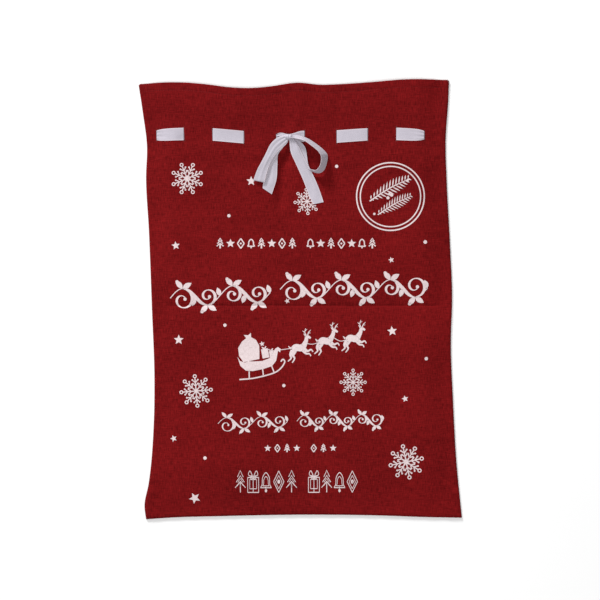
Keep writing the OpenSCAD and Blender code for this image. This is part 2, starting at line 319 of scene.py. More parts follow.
# %% Helpers: points and faces
def alone(thing):
    """Selects one object and makes it active."""
    bpy.ops.object.select_all(action="DESELECT")
    thing.select_set(True)
    bpy.context.view_layer.objects.active = thing
    return thing


def primitive(add_one, **settings):
    """Adds one of Blender's primitives, with nothing else selected."""
    bpy.ops.object.select_all(action="DESELECT")
    add_one(**settings)
    return bpy.context.object


def points_of(thing):
    co = np.empty(len(thing.data.vertices) * 3)
    thing.data.vertices.foreach_get("co", co)
    return co.reshape(-1, 3)


def set_points(thing, x, y, z):
    co = np.column_stack([np.broadcast_to(a, np.shape(x)) for a in (x, y, z)]) * MM
    thing.data.vertices.foreach_set("co", co.ravel())
    thing.data.update()


def face_values(thing, field):
    values = np.empty(len(thing.data.polygons) * 3)
    thing.data.polygons.foreach_get(field, values)
    return values.reshape(-1, 3)


def set_uv(thing, across, along):
    """Writes the flat place of each vertex, in metres, as the UV map."""
    layers = thing.data.uv_layers
    layer = layers[0] if layers else layers.new(name="UVMap")
    loops = np.empty(len(thing.data.loops), int)
    thing.data.loops.foreach_get("vertex_index", loops)
    flat = np.column_stack([np.broadcast_to(across, np.shape(along)), along]) * MM
    layer.data.foreach_set("uv", flat[loops].ravel())


# %% Helpers: editing
def start_edit(thing, kind):
    """Opens a mesh for editing, with all of it selected. kind is VERT, EDGE or FACE."""
    alone(thing)
    bpy.ops.object.mode_set(mode="EDIT")
    bpy.ops.mesh.select_mode(type=kind)
    bpy.ops.mesh.select_all(action="SELECT")


def end_edit():
    bpy.ops.object.mode_set(mode="OBJECT")


def choose_faces(thing, chosen):
    """Selects the chosen faces and no others, and leaves the mesh open for editing."""
    start_edit(thing, "FACE")
    bpy.ops.mesh.select_all(action="DESELECT")
    end_edit()
    thing.data.polygons.foreach_set("select", chosen)
    bpy.ops.object.mode_set(mode="EDIT")


def close_tube(tube, draw_in=None):
    """Sews a rolled-up sheet along its edge and closes its ends. draw_in narrows the ends first."""
    start_edit(tube, "EDGE")
    bpy.ops.mesh.remove_doubles(threshold=0.00001)
    bpy.ops.mesh.select_all(action="DESELECT")
    bpy.ops.mesh.select_non_manifold()
    if draw_in:
        bpy.ops.mesh.extrude_region_move()
        bpy.ops.transform.resize(value=draw_in, center_override=tuple(knot * MM))
    bpy.ops.mesh.edge_face_add()
    bpy.ops.mesh.select_all(action="SELECT")
    bpy.ops.mesh.normals_make_consistent(inside=False)
    end_edit()


def thicken(thing, amount, offset=-1):
    alone(thing)
    wall = thing.modifiers.new("thickness", "SOLIDIFY")
    wall.thickness = amount * MM
    wall.offset = offset
    wall.use_even_offset = False
    bpy.ops.object.modifier_apply(modifier=wall.name)
    return thing


# %% Helpers: sheets, lines and finishing
def new_sheet(name, across, along, place):
    """A grid with a column for each value in across and a row for each in along."""
    columns_between, rows_between = len(across) - 1, len(along) - 1
    sheet = primitive(
        bpy.ops.mesh.primitive_grid_add,
        x_subdivisions=columns_between, y_subdivisions=rows_between, size=1)
    sheet.name = sheet.data.name = name
    share = points_of(sheet)[:, :2] + 0.5
    column = np.array(across)[np.rint(share[:, 0] * columns_between).astype(int)]
    row = np.array(along)[np.rint(share[:, 1] * rows_between).astype(int)]
    set_points(sheet, *place(column, row))
    set_uv(sheet, *place(column, row)[:2])
    return sheet


def unit(ways):
    return ways / np.linalg.norm(ways, axis=1)[:, None]


def run_along(line):
    """How far along a line of points each of them is."""
    return np.concatenate([[0], np.cumsum(np.linalg.norm(np.diff(line, axis=0), axis=1))])


def curve(points, t):
    """The place at each share t of the way along a smooth line through points."""
    points = np.array(points, float)
    stations = np.linspace(0, 1, len(points))
    return np.array([through(np.column_stack([stations, axis]), t) for axis in points.T])


def finish_piece(thing, material, body, stands_for=()):
    """Gives a piece its material and smooth shading and hides the CAD nodes it stands for. A body named
    by a string becomes the piece's parent, and a function given as body is called on the piece.
    """
    alone(thing)
    thing.data.materials.clear()
    thing.data.materials.append(material)
    bpy.ops.object.shade_smooth_by_angle(angle=math.radians(50))
    if stands_for:
        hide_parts(*stands_for)
    if isinstance(body, str):
        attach(thing, body)
    else:
        body(thing)
    print(thing.name, len(thing.data.polygons), "faces")
    return thing


# %% [markdown]
# ## Stand-ins for bodies
#
# Three functions take the place of a body for most soft pieces. Each bakes a piece's transform into its
# mesh and leaves its shape as it is. It attaches the piece to no body, so nothing bends at the crease,
# the mouth or the knot.


def over_crease(thing):
    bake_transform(thing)


def with_mouth(thing):
    """Bakes the piece's transform into its mesh. The points' x and y are read but not used."""
    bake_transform(thing)
    x, y, _ = points_of(thing).T / MM


def from_knot():
    def bend(thing):
        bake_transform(thing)
    return bend


# %% [markdown]
# ## Shared shader effects
#
# Linen and ribbon are both plain weaves at different scales, so the weave is one node group. It puts
# out a height for the bump and the slubs, the thick places that run a short way along a thread. A
# second group mixes the two colours of a cloth by its slubs and by broad, faint patches.

# %% Node group: plain weave
def add(tree, kind, **values):
    """Adds a node. Values are its settings, or its sockets' values by name with spaces as _."""
    node = tree.nodes.new(kind)
    for key, value in values.items():
        if hasattr(node, key):
            setattr(node, key, value)
        else:
            node.inputs[key.replace("_", " ")].default_value = value
    return node


def math_node(tree, operation, *values):
    node = add(tree, "ShaderNodeMath", operation=operation)
    for socket, value in zip(node.inputs, values):
        if isinstance(value, bpy.types.NodeSocket):
            tree.links.new(value, socket)
        else:
            socket.default_value = value
    return node.outputs[0]


def new_group(name, inputs, outputs):
    group = bpy.data.node_groups.new(name, "ShaderNodeTree")
    for label, kind, value in inputs:
        socket = group.interface.new_socket(label, in_out="INPUT", socket_type=kind)
        if value is not None:
            socket.default_value = value
    for label, kind in outputs:
        group.interface.new_socket(label, in_out="OUTPUT", socket_type=kind)
    return group, group.nodes.new("NodeGroupInput"), group.nodes.new("NodeGroupOutput")


weave, given, result = new_group(
    "plain_weave",
    [
        ("Place", "NodeSocketVector", None), ("Threads per metre", "NodeSocketFloat", 900.0),
        ("Slub across", "NodeSocketFloat", 520.0), ("Slub along", "NodeSocketFloat", 60.0),
    ],
    [("Height", "NodeSocketFloat"), ("Warp slub", "NodeSocketFloat"), ("Weft slub", "NodeSocketFloat")],
)
split = add(weave, "ShaderNodeSeparateXYZ")
weave.links.new(given.outputs["Place"], split.inputs[0])
waves = []
for axis in (0, 1):
    turns = math_node(weave, "MULTIPLY", split.outputs[axis], given.outputs["Threads per metre"])
    waves.append(math_node(weave, "SINE", math_node(weave, "MULTIPLY", turns, math.pi)))
crossing = math_node(weave, "MULTIPLY", waves[0], waves[1])
slubs = []
for across, along in ((0, 1), (1, 0)):
    stretch = add(weave, "ShaderNodeCombineXYZ")
    for socket, source, rate in ((0, across, "Slub across"), (1, along, "Slub along")):
        run = math_node(weave, "MULTIPLY", split.outputs[source], given.outputs[rate])
        weave.links.new(run, stretch.inputs[socket])
    stretch.inputs[2].default_value = 7.3 * across
    noise = add(weave, "ShaderNodeTexNoise", Scale=1.0, Detail=2.0, Roughness=0.55)
    weave.links.new(stretch.outputs[0], noise.inputs["Vector"])
    slubs.append(noise.outputs["Fac"])
thick = math_node(weave, "ADD", slubs[0], slubs[1])
relief = math_node(weave, "MULTIPLY_ADD", crossing, 0.35, thick)
for value, label in ((relief, "Height"), (slubs[0], "Warp slub"), (slubs[1], "Weft slub")):
    weave.links.new(value, result.inputs[label])
print("weave group has", len(weave.nodes), "nodes")

# %% Node group: tone of a cloth
tone, given, result = new_group(
    "cloth_tone",
    [
        ("Warp slub", "NodeSocketFloat", 0.5), ("Weft slub", "NodeSocketFloat", 0.5),
        ("Place", "NodeSocketVector", None), ("Dark", "NodeSocketColor", (0, 0, 0, 1)),
        ("Light", "NodeSocketColor", (1, 1, 1, 1)), ("Contrast", "NodeSocketFloat", 1.0),
    ],
    [("Color", "NodeSocketColor"), ("Roughness", "NodeSocketFloat")],
)
patch = add(tone, "ShaderNodeTexNoise", Scale=7.0, Detail=1.0, Roughness=0.4)
tone.links.new(given.outputs["Place"], patch.inputs["Vector"])
swing = 0
for value, gain in (
    (given.outputs["Warp slub"], 2.0), (given.outputs["Weft slub"], 1.3), (patch.outputs["Fac"], 0.5),
):
    swing = math_node(tone, "MULTIPLY_ADD", math_node(tone, "SUBTRACT", value, 0.5), gain, swing)
share = math_node(tone, "MULTIPLY_ADD", swing, given.outputs["Contrast"], 0.5)
mix = add(tone, "ShaderNodeMix", data_type="RGBA", clamp_factor=True)
rough = math_node(tone, "SUBTRACT", 0.95, math_node(tone, "MULTIPLY", share, 0.12))
for value, socket in (
    (share, mix.inputs["Factor"]), (given.outputs["Dark"], mix.inputs[6]),
    (given.outputs["Light"], mix.inputs[7]), (mix.outputs[2], result.inputs["Color"]),
    (rough, result.inputs["Roughness"]),
):
    tone.links.new(value, socket)
print("tone group has", len(tone.nodes), "nodes")

# %% [markdown]
# ## Materials
#
# Each material places the two groups with its own thread count and colours. The cloth's and the
# ribbon's weave read the UV map, which holds flat metres. Specular stays low on the linen, because
# dry dyed fibres scatter light and hardly mirror it. Numbers that are the same all over are set on
# the shader's own sockets.

# %% A woven material
def woven_material(
    name, dark, light, threads, slub, contrast, bump, specular, sheen, edge=None,
):
    """A cloth: dark and light are the ends of its thread colours, bump the depth of its weave in mm.

    edge is the colour of its selvedges, if it has any.
    """
    material = bpy.data.materials.new(name)
    material.use_nodes = True
    tree = material.node_tree
    shader = tree.nodes["Principled BSDF"]
    place = add(tree, "ShaderNodeUVMap", uv_map="UVMap").outputs[0]
    yarn = add(tree, "ShaderNodeGroup", node_tree=weave)
    tones = add(tree, "ShaderNodeGroup", node_tree=tone)
    depth = add(tree, "ShaderNodeBump", Strength=1.0, Distance=bump * MM)
    for node, values in (
        (yarn, {"Threads per metre": threads, "Slub across": slub[0], "Slub along": slub[1]}),
        (tones, {"Dark": (*dark, 1), "Light": (*light, 1), "Contrast": contrast}),
        (shader, {
            "Specular IOR Level": specular, "Sheen Weight": sheen, "Sheen Roughness": 0.5,
            "Sheen Tint": (*light, 1),
        }),
    ):
        for label, value in values.items():
            node.inputs[label].default_value = value
    color = tones.outputs["Color"]
    if edge:
        mark = add(tree, "ShaderNodeAttribute", attribute_name="selvedge")
        border = add(tree, "ShaderNodeMix", data_type="RGBA")
        border.inputs[7].default_value = (*edge, 1)
        tree.links.new(mark.outputs["Fac"], border.inputs["Factor"])
        tree.links.new(color, border.inputs[6])
        color = border.outputs[2]
    for source, target, label in (
        (place, yarn, "Place"), (place, tones, "Place"),
        (yarn.outputs["Warp slub"], tones, "Warp slub"),
        (yarn.outputs["Weft slub"], tones, "Weft slub"), (yarn.outputs["Height"], depth, "Height"),
        (tones.outputs["Roughness"], shader, "Roughness"), (color, shader, "Base Color"),
        (depth.outputs["Normal"], shader, "Normal"),
    ):
        tree.links.new(source, target.inputs[label])
    return material


# %% Linen, thread, ribbon and ink
linen = woven_material(
    "red_linen", (0.066, 0.0012, 0.0018), (0.246, 0.0080, 0.0092),
    threads=900, slub=(900, 90), contrast=0.68, bump=0.3, specular=0.06, sheen=0.05)
thread_red = woven_material(
    "red_thread", (0.11, 0.006, 0.007), (0.24, 0.014, 0.016),
    threads=2600, slub=(2400, 300), contrast=0.8, bump=0.08, specular=0.25, sheen=0.1)
ribbon_white = woven_material(
    "white_ribbon", (0.435, 0.405, 0.465), (0.56, 0.525, 0.59),
    threads=2400, slub=(1500, 90), contrast=0.5, bump=0.06, specular=0.22, sheen=0.15,
    edge=(0.74, 0.64, 0.69))
ink = woven_material(
    "printed_ink", (0.61, 0.50, 0.505), (0.80, 0.675, 0.685),
    threads=900, slub=(900, 200), contrast=0.9, bump=0.12, specular=0.12, sheen=0.0)
print("materials", [m.name for m in (linen, thread_red, ribbon_white, ink)])

# %% [markdown]
# ## Studio
#
# The sack is seen from straight above with a long lens, on a pale floor. A low key light above its
# left shoulder draws the folds, and a wide soft light fills the shadows.

# %% Studio
FIELD = 965.5  # the width that the camera takes in at the height of the cloth
CAMERA_HEIGHT = 2600
SENSOR = 36
camera = primitive(
    bpy.ops.object.camera_add, location=(0, 0, CAMERA_HEIGHT * MM), rotation=(0, 0, 0))
camera.data.sensor_width = SENSOR
camera.data.lens = SENSOR * (CAMERA_HEIGHT - swell_top) / FIELD
bpy.context.scene.camera = camera

paper = bpy.data.materials.new("studio_paper")
paper.use_nodes = True
tree = paper.node_tree
grain = add(tree, "ShaderNodeTexNoise", Scale=40.0, Detail=2.0)
pale = add(tree, "ShaderNodeMix", data_type="RGBA")
pale.inputs[6].default_value = (0.93, 0.93, 0.93, 1)
pale.inputs[7].default_value = (0.95, 0.95, 0.95, 1)
paper_shader = tree.nodes["Principled BSDF"]
paper_shader.inputs["Roughness"].default_value = 0.9
paper_shader.inputs["Specular IOR Level"].default_value = 0.1
tree.links.new(grain.outputs["Fac"], pale.inputs["Factor"])
tree.links.new(pale.outputs[2], paper_shader.inputs["Base Color"])
floor = primitive(bpy.ops.mesh.primitive_plane_add, size=16, location=(0, 0, -0.0002))
floor.name = "studio_floor"
floor.data.materials.append(paper)

SKY = 0.34  # strength of the even light from all round
world = bpy.data.worlds.new("studio")
world.use_nodes = True
sky = world.node_tree.nodes["Background"]
sky.inputs["Color"].default_value = (1, 1, 1, 1)
sky.inputs["Strength"].default_value = SKY
bpy.context.scene.world = world
bpy.context.scene.view_settings.view_transform = "Standard"


# %% Lights
def soft_light(name, place, size, power):
    """A square light that faces the middle of the sack."""
    light = primitive(bpy.ops.object.light_add, type="AREA", location=[c * MM for c in place])
    light.name = name
    light.data.size = size * MM
    light.data.energy = power
    light.rotation_euler = (-light.location).to_track_quat("-Z", "Y").to_euler()


soft_light("key_light", (-2750, 5250, 2375), 1200, 450)
soft_light("fill_light", (-300, -500, 2700), 1200, 34)

# %% [markdown]
# ## The cloth of the sack
#
# The back is one sheet from the bottom to the mouth. The front is two sheets that meet in the
# storage crease. Rows and columns lie closer where the cloth is creased, at its edges and round the
# slits. A slit is a narrow gap of deleted faces, as long as the ribbon that goes through it is wide.

# %% Rows and columns
CELL = 3.9
EDGE_STEPS = [0, 0.7, 1.5, 2.6, 4.2]
SLIT_GAPE = 1.4
SLIT_SPARE = 1.5  # a slit is this much longer than the ribbon, at each end
# the ribbon at each slit: the height of its middle, and its width there
ribbon_at = [
    (265.6, 15.5), (267.6, 20), (266.8, 20), (262.3, 20), (262.6, 8),
    (263.8, 17), (263.4, 20), (266.9, 19.5), (267.6, 20), (265.4, 13),
]


def spaced(start, end, size=CELL):
    return list(np.linspace(start, end, max(2, int(round((end - start) / size)) + 1)))


def columns():
    """Shares across the sack, with a column at both lips of each slit."""
    left, right = left_edge(neck), right_edge(neck)
    stops = [left + EDGE_STEPS[-1]]
    for at in slits:
        stops += [at - SLIT_GAPE / 2, at + SLIT_GAPE / 2]
    stops.append(right - EDGE_STEPS[-1])
    places = [left + e for e in EDGE_STEPS] + [right - e for e in EDGE_STEPS]
    for a, b in zip(stops, stops[1:]):
        places += spaced(a, b)
    places = np.unique(np.round(places, 4))
    return list((places - left) / (right - left))


CREASE_STEPS = [0, 0.6, 1.2, 1.9, 2.6, 3.4, 4.2, 5, 6.4, 8.2]
HEM_ROWS = [14.6, 13.4, 12.4, 11.5, 10.6, 9.6, 7.5, 5, 2.6, 1.1, 0]
SLIT_REACH = 16
across = columns()
lower_rows = (
    [bottom + e for e in EDGE_STEPS] + spaced(bottom + EDGE_STEPS[-1], crease - CREASE_STEPS[-1])[1:-1]
    + [crease - e for e in reversed(CREASE_STEPS)]
)
upper_rows = (
    [crease + e for e in CREASE_STEPS] + spaced(crease + CREASE_STEPS[-1], neck - SLIT_REACH)[1:-1]
    + spaced(neck - SLIT_REACH, neck + SLIT_REACH, 2)[:-1]
    + spaced(neck + SLIT_REACH, mouth - HEM_ROWS[0])[:-1] + [mouth - e for e in HEM_ROWS]
)
print(len(across), "columns,", len(lower_rows), "+", len(upper_rows), "rows")


# %% Slits
def cut_slits(sheet):
    """Deletes the faces between the two lips of each slit."""
    x, y, _ = face_values(sheet, "center").T / MM
    chosen = np.zeros(len(x), bool)
    for at, (middle, width) in zip(slits, ribbon_at):
        chosen |= (abs(x - at) < SLIT_GAPE / 2 + 0.3) & (abs(y - middle) < width / 2 + SLIT_SPARE)
    choose_faces(sheet, chosen)
    bpy.ops.mesh.delete(type="FACE")
    end_edit()
    print(sheet.name, "has", int(chosen.sum()), "faces cut out for its slits")


# %% Cloth sheets
def laid_at(height_of):
    """Lays the rows and columns of a panel at the height that height_of gives."""
    def place(share, row):
        x, y = lay(share, row)
        return x, y, height_of(x, y)
    return place


back_cloth = new_sheet("back_cloth", across, lower_rows + upper_rows[1:], laid_at(back_under))
cut_slits(back_cloth)
thicken(back_cloth, cloth, 1)
finish_piece(back_cloth, linen, over_crease, ["lower_back_panel", "upper_back_panel"])

lower_front = new_sheet("lower_front_cloth", across, lower_rows, laid_at(front_top))
thicken(lower_front, cloth)
finish_piece(lower_front, linen, over_crease, ["lower_front_panel"])

upper_front = new_sheet("upper_front_cloth", across, upper_rows, laid_at(front_top))
cut_slits(upper_front)
thicken(upper_front, cloth)
finish_piece(upper_front, linen, with_mouth, ["upper_front_panel"])

# %% [markdown]
# ## Hems, seam allowances and binding
#
# At the mouth the cloth turns inward round a soft edge and runs 14 mm down, so the hem is a narrow
# sheet whose cross-section is that turn. Inside the seams the two raw edges lie together, and an
# overlock thread loops round both. Little of this shows at rest, but it does once the mouth opens.

# %% Hems
# across the hem: how far it has come from the mouth, and its height under the cloth
HEM_TURN = [
    (0.2, -0.35), (-0.5, -0.55), (-0.75, -0.9), (-0.5, -1.25), (0.3, -1.42), (3, -1.45),
    (8, -1.45), (13.6, -1.45),
]


def hem(name, height_of, side, body, stands_for):
    """side is 1 where the turn goes down under the cloth, and -1 where it goes up over it."""
    def lie(share, at):
        inset, drop = np.array(HEM_TURN)[at].T
        x, y = lay(share, np.full_like(share, mouth))
        x = np.clip(x, -half_w + 3, right_edge(mouth) - 2)
        z = height_of(x, y - np.maximum(inset, 0.5))
        return x, y - inset, z + side * drop

    piece = new_sheet(name, across[2:-2], range(len(HEM_TURN)), lie)
    thicken(piece, cloth * 0.95, 0)
    return finish_piece(piece, linen, body, stands_for)


def back_top(x, y):
    return back_under(x, y) + cloth


front_hem = hem("front_hem_turn", front_top, 1, with_mouth, ["front_hem"])
back_hem = hem("back_hem_turn", back_top, -1, "upper_half", ["back_hem"])


# %% Seam allowances
ALLOWANCE_T = 0.6  # the cloth is pressed thinner where it is sewn
# across the allowance: back layer's raw edge, the seam, front layer's raw edge
SEAM_SECTION = [
    (10, 1.25), (6, 1.25), (2.2, 1.25), (1.5, 1.45), (1.2, 1.7), (1.5, 1.95), (2.2, 2.15),
    (6, 2.15), (10, 2.15),
]


def along_side(side, inset, row):
    """The point at a distance in from a side seam; side is -1 on the left and 1 on the right."""
    return np.where(side < 0, left_edge(row) + inset, right_edge(row) - inset), row


def along_bottom(inset, share):
    x = left_edge(bottom + 5) + share * (right_edge(bottom + 5) - left_edge(bottom + 5))
    return x, bottom_line(share) + inset


def allowance(name, stops, to_place, body, stands_for):
    def lie(at, stop):
        inset, level = np.array(SEAM_SECTION)[at].T
        x, y = to_place(inset, stop)
        return x, y, level + 0.05

    piece = new_sheet(name, range(len(SEAM_SECTION)), stops, lie)
    thicken(piece, ALLOWANCE_T, 0)
    return finish_piece(piece, linen, body, stands_for)


side_rows = [r for r in lower_rows if r > bottom + 22] + [r for r in upper_rows[1:] if r < mouth - 30]
SIDES = {"left": -1, "right": 1}
for word, side in SIDES.items():
    allowance(
        f"{word}_seam_allowance", side_rows, lambda inset, row, side=side: along_side(side, inset, row),
        over_crease, [f"lower_{word}_seam", f"upper_{word}_seam"])
allowance(
    "bottom_seam_allowance", spaced(0.01, 0.99, 0.008), along_bottom, "root", ["bottom_seam"])


# %% [markdown]
# ## Threads
#
# A row of stitches is one small stitch, copied along a line. The stitch is a sphere primitive drawn
# out long and thin with a few segments, because hundreds of copies are needed. The overlock is a
# single thread that loops round the raw edges in a long spiral.

# %% Stitches and loops
def stitch_form(long, wide, high):
    form = primitive(bpy.ops.mesh.primitive_uv_sphere_add, segments=6, ring_count=4, radius=0.5)
    bpy.ops.transform.rotate(value=math.pi / 2, orient_axis="Y", center_override=(0, 0, 0))
    bpy.ops.object.transform_apply(location=False, rotation=True, scale=False)
    corners = points_of(form) * (long, wide, high)
    faces = [tuple(p.vertices) for p in form.data.polygons]
    bpy.data.objects.remove(form)
    return corners, faces


def stitch_row(name, places, ways, long=3.2, wide=0.5, high=0.45):
    """One stitch at each place, turned to its way, all as one mesh. Places are x, y and z in mm."""
    corners, faces = stitch_form(long, wide, high)
    ways = unit(np.array(ways))
    aside = unit(np.cross((0, 0, 1), ways))
    up = np.cross(ways, aside)
    all_corners = np.array(places)[:, None]
    for i, axis in enumerate((ways, aside, up)):
        all_corners = all_corners + corners[None, :, i:i + 1] * axis[:, None]
    mesh = bpy.data.meshes.new(name)
    joined = [tuple(i + n * len(corners) for i in f) for n in range(len(places)) for f in faces]
    mesh.from_pydata((all_corners.reshape(-1, 3) * MM).tolist(), [], joined)
    row = bpy.data.objects.new(name, mesh)
    bpy.context.scene.collection.objects.link(row)
    x, y, _ = points_of(row).T / MM
    set_uv(row, x, y)
    return row


# %% Lines of thread
def evenly(line, pitch):
    """Places and ways at an even pitch along a line of points."""
    run = run_along(line)
    stops = np.arange(pitch / 2, run[-1], pitch)
    places, ahead, behind = (
        np.column_stack([np.interp(at, run, axis) for axis in line.T])
        for at in (stops, stops + 0.5, stops - 0.5)
    )
    return places, ahead - behind


def thread_tube(name, line, radius, sides):
    """A thin tube along a line of points, made as a grid whose columns go round it."""
    way = unit(np.gradient(line, axis=0))
    aside = unit(np.cross(way, (0.1, 0.2, 1)))
    up = np.cross(aside, way)

    def round_line(turn, at):
        angle = 2 * math.pi * turn[:, None] / sides
        return (line[at] + radius * (np.cos(angle) * aside[at] + np.sin(angle) * up[at])).T

    tube = new_sheet(name, range(sides + 1), range(len(line)), round_line)
    close_tube(tube)
    return tube


# %% Hem stitches
HEM_PITCH = 3.9


def hem_line(height_of, lift):
    xs = np.linspace(left_edge(mouth) + 8, right_edge(mouth) - 8, 160)
    ys = mouth_line(share_across(xs, np.full_like(xs, mouth))) - hem_stitch
    return np.column_stack([xs, ys, height_of(xs, ys) + lift])


def hem_stitches(side, line, body):
    row = stitch_row(f"{side}_hem_stitches", *evenly(line, HEM_PITCH))
    return finish_piece(row, thread_red, body, [f"{side}_hem_thread"])


front_stitches = hem_stitches("front", hem_line(front_top, 0.05), with_mouth)
back_stitches = hem_stitches("back", hem_line(back_under, 2.55), "upper_half")


# %% Seam stitches and overlock
SEAM_PITCH = 3.4
SEAM_INSET = 1.9
OVERLOCK_PITCH = 3.2
OVERLOCK_INSET = 9.3
OVERLOCK_R = 0.17
EDGES_MIDDLE = 1.78  # the height half way between the two raw edges


def seam_places(word, inset):
    if word == "bottom":
        return along_bottom(inset, np.linspace(0.012, 0.988, 160))
    return along_side(SIDES[word], inset, np.array(side_rows))


def overlock_line(word):
    """A spiral round the raw edges, eight points to a turn."""
    x, y = seam_places(word, OVERLOCK_INSET)
    run = run_along(np.column_stack([x, y]))
    s = np.arange(0, run[-1], OVERLOCK_PITCH / 8)
    turn = 2 * math.pi * s / OVERLOCK_PITCH
    x, y = np.interp(s, run, x), np.interp(s, run, y)
    inward = 1.35 * np.cos(turn)
    if word == "bottom":
        y = y + inward
    else:
        x = x - SIDES[word] * inward
    return np.column_stack([x, y, EDGES_MIDDLE + 0.95 * np.sin(turn)])


for word in ("left", "right", "bottom"):
    nodes = ["bottom"] if word == "bottom" else [f"lower_{word}", f"upper_{word}"]
    body = "root" if word == "bottom" else over_crease
    x, y = seam_places(word, SEAM_INSET)
    line = np.column_stack([x, y, np.full(len(x), 2.6)])
    row = stitch_row(f"{word}_seam_stitches", *evenly(line, SEAM_PITCH), long=2.9)
    finish_piece(row, thread_red, body, [f"{n}_thread" for n in nodes])
    binding = thread_tube(f"{word}_edge_binding", overlock_line(word), OVERLOCK_R, 4)
    finish_piece(binding, thread_red, body, [f"{n}_overlock" for n in nodes])


# %% [markdown]
# ## Buttonhole stitching round the slits
#
# Each slit is a long buttonhole: short stitches lie side by side across its lips and fan round its
# ends, so that the linen can't fray where the ribbon pulls.

# %% Slit stitching
STITCH_LIFT = 0.04


def round_slit(at, middle, width, height_of):
    """Stitches across the two lips, and a few that turn round each end."""
    half_l = width / 2 + 1.6
    places, ways = [], []
    off = SLIT_GAPE / 2 + 0.45
    for y in np.arange(middle - half_l, middle + half_l + 0.1, 0.75):
        for side in (-1, 1):
            places.append((at + side * off, y))
            ways.append((1, 0.08 * side, 0))
    for end in (-1, 1):
        for angle in np.linspace(0.3, math.pi - 0.3, 5):
            places.append((at + off * math.cos(angle), middle + end * (half_l + off * math.sin(angle))))
            ways.append((math.cos(angle), end * math.sin(angle), 0))
    x, y = np.array(places).T
    return np.column_stack([x, y, height_of(x, y) + STITCH_LIFT]), np.array(ways)


def slit_stitching(side, height_of, body):
    rows = [round_slit(at, *ribbon, height_of) for at, ribbon in zip(slits, ribbon_at)]
    places, ways = (np.concatenate(part) for part in zip(*rows))
    piece = stitch_row(f"{side}_buttonholes", places, ways, long=1.5, wide=0.6, high=0.32)
    return finish_piece(piece, thread_red, body, [f"{side}_slit_stitching"])


front_buttonholes = slit_stitching("front", front_top, with_mouth)
back_buttonholes = slit_stitching("back", back_top, "upper_half")

# %% [markdown]
# ## The ribbon in the neck
#
# A taffeta ribbon, 20 mm wide, dips through one slit and comes up through the next. Its height is
# that of the cloth plus a step at each slit. Where the slit crowds it, the ribbon bunches: it gets
# narrower and takes lengthwise pleats, so its width in cloth stays the same.

# %% Ribbon sizes
RIBBON_W = 20
RIBBON_T = 0.35
OUTSIDE = 0.42  # the ribbon's height from the top of the front cloth, outside and inside the sack
INSIDE = -1.6
UNDER_BACK = 0.22  # its height under the back cloth, from the table
PINCHED = 8  # its width where it enters the knot
TURN_BACK = 13.5  # it turns from the front to the back this far from the side seams
middles, widths = np.array(ribbon_at).T
v_across = list(np.linspace(-1, 1, 17))


# %% How wide the ribbon is, and where it lies
def ribbon_stops(start, end):
    places = spaced(start, end, 3)
    for at in slits:
        if start < at < end:
            places += [at + d for d in (-1.7, -1.1, -0.7, -0.35, 0, 0.35, 0.7, 1.1, 1.7)]
    return list(np.unique(np.round(places, 3)))


def ribbon_middle(x):
    return np.interp(x, slits, middles)


def ribbon_width(x):
    narrow = sum((RIBBON_W - w) * np.exp(-abs(x - at) / 8) for at, w in zip(slits, widths))
    return RIBBON_W - narrow


def past(distance):
    """How far through a slit the ribbon is, this far past it: 0 inside the sack, 1 outside."""
    return step((distance + 0.8) / 1.6)


def outer_share(x):
    """1 where the ribbon runs outside, which is between slits 1 and 2, 3 and 4 and so on."""
    return sum(past(x - a) * past(b - x) for a, b in zip(slits[::2], slits[1::2]))


# %% A sheet of ribbon
def selvedge(thing, v):
    """Marks the two woven edges of a ribbon, for its material to lighten."""
    mark = thing.data.attributes.new("selvedge", "FLOAT", "POINT")
    mark.data.foreach_set("value", step((abs(v) - 0.86) / 0.1).astype(np.float32))


def ribbon_sheet(name, stops, place):
    """A ribbon with place(v, stop) for v from -1 to 1 across it. Its UV map is the ribbon laid flat."""
    piece = new_sheet(name, v_across, stops, place)
    rows = points_of(piece).reshape(len(stops), len(v_across), 3) / MM
    run = run_along(rows[:, len(v_across) // 2])
    share = np.tile(v_across, len(stops))
    set_uv(piece, share * RIBBON_W / 2, np.repeat(run, len(v_across)))
    selvedge(piece, share)
    print(name, "takes", round(run[-1]), "mm of ribbon")
    return thicken(piece, RIBBON_T, 0)


# %% Weaving in and out
def front_run(toward_knot):
    """toward_knot is 1 for the left ribbon, whose knot is at its right end, or -1 for the right one."""
    last = slits[4] if toward_knot > 0 else slits[5]

    def place(v, x):
        width, middle = ribbon_width(x), ribbon_middle(x)
        beyond = (x - last) * toward_knot
        near = step((x - last) / (knot[0] - last)) * (beyond > 0)
        width = width + near * (PINCHED - width)
        middle = middle + near * (knot[1] + 0.5 - middle)
        y = middle + v * width / 2
        out = np.where(beyond > -0.8, past(beyond), outer_share(x))
        z = front_top(x, y) + INSIDE + out * (OUTSIDE - INSIDE)
        bunch = np.clip((RIBBON_W - width) / (RIBBON_W - PINCHED), 0, 1)
        z = z + out * bunch * (0.9 + 0.9 * np.cos(v * 8.6 + 0.06 * x))
        return x, y, z + near * (knot[2] - 1.2 - z)
    return place


# %% The three woven runs
def back_run(v, x):
    y = ribbon_middle(x) * 0.3 + neck * 0.7 + v * RIBBON_W * 0.98 / 2
    out = outer_share(x)
    inside = back_under(x, y) + cloth + RIBBON_T
    return x, y, (1 - out) * inside + out * UNDER_BACK


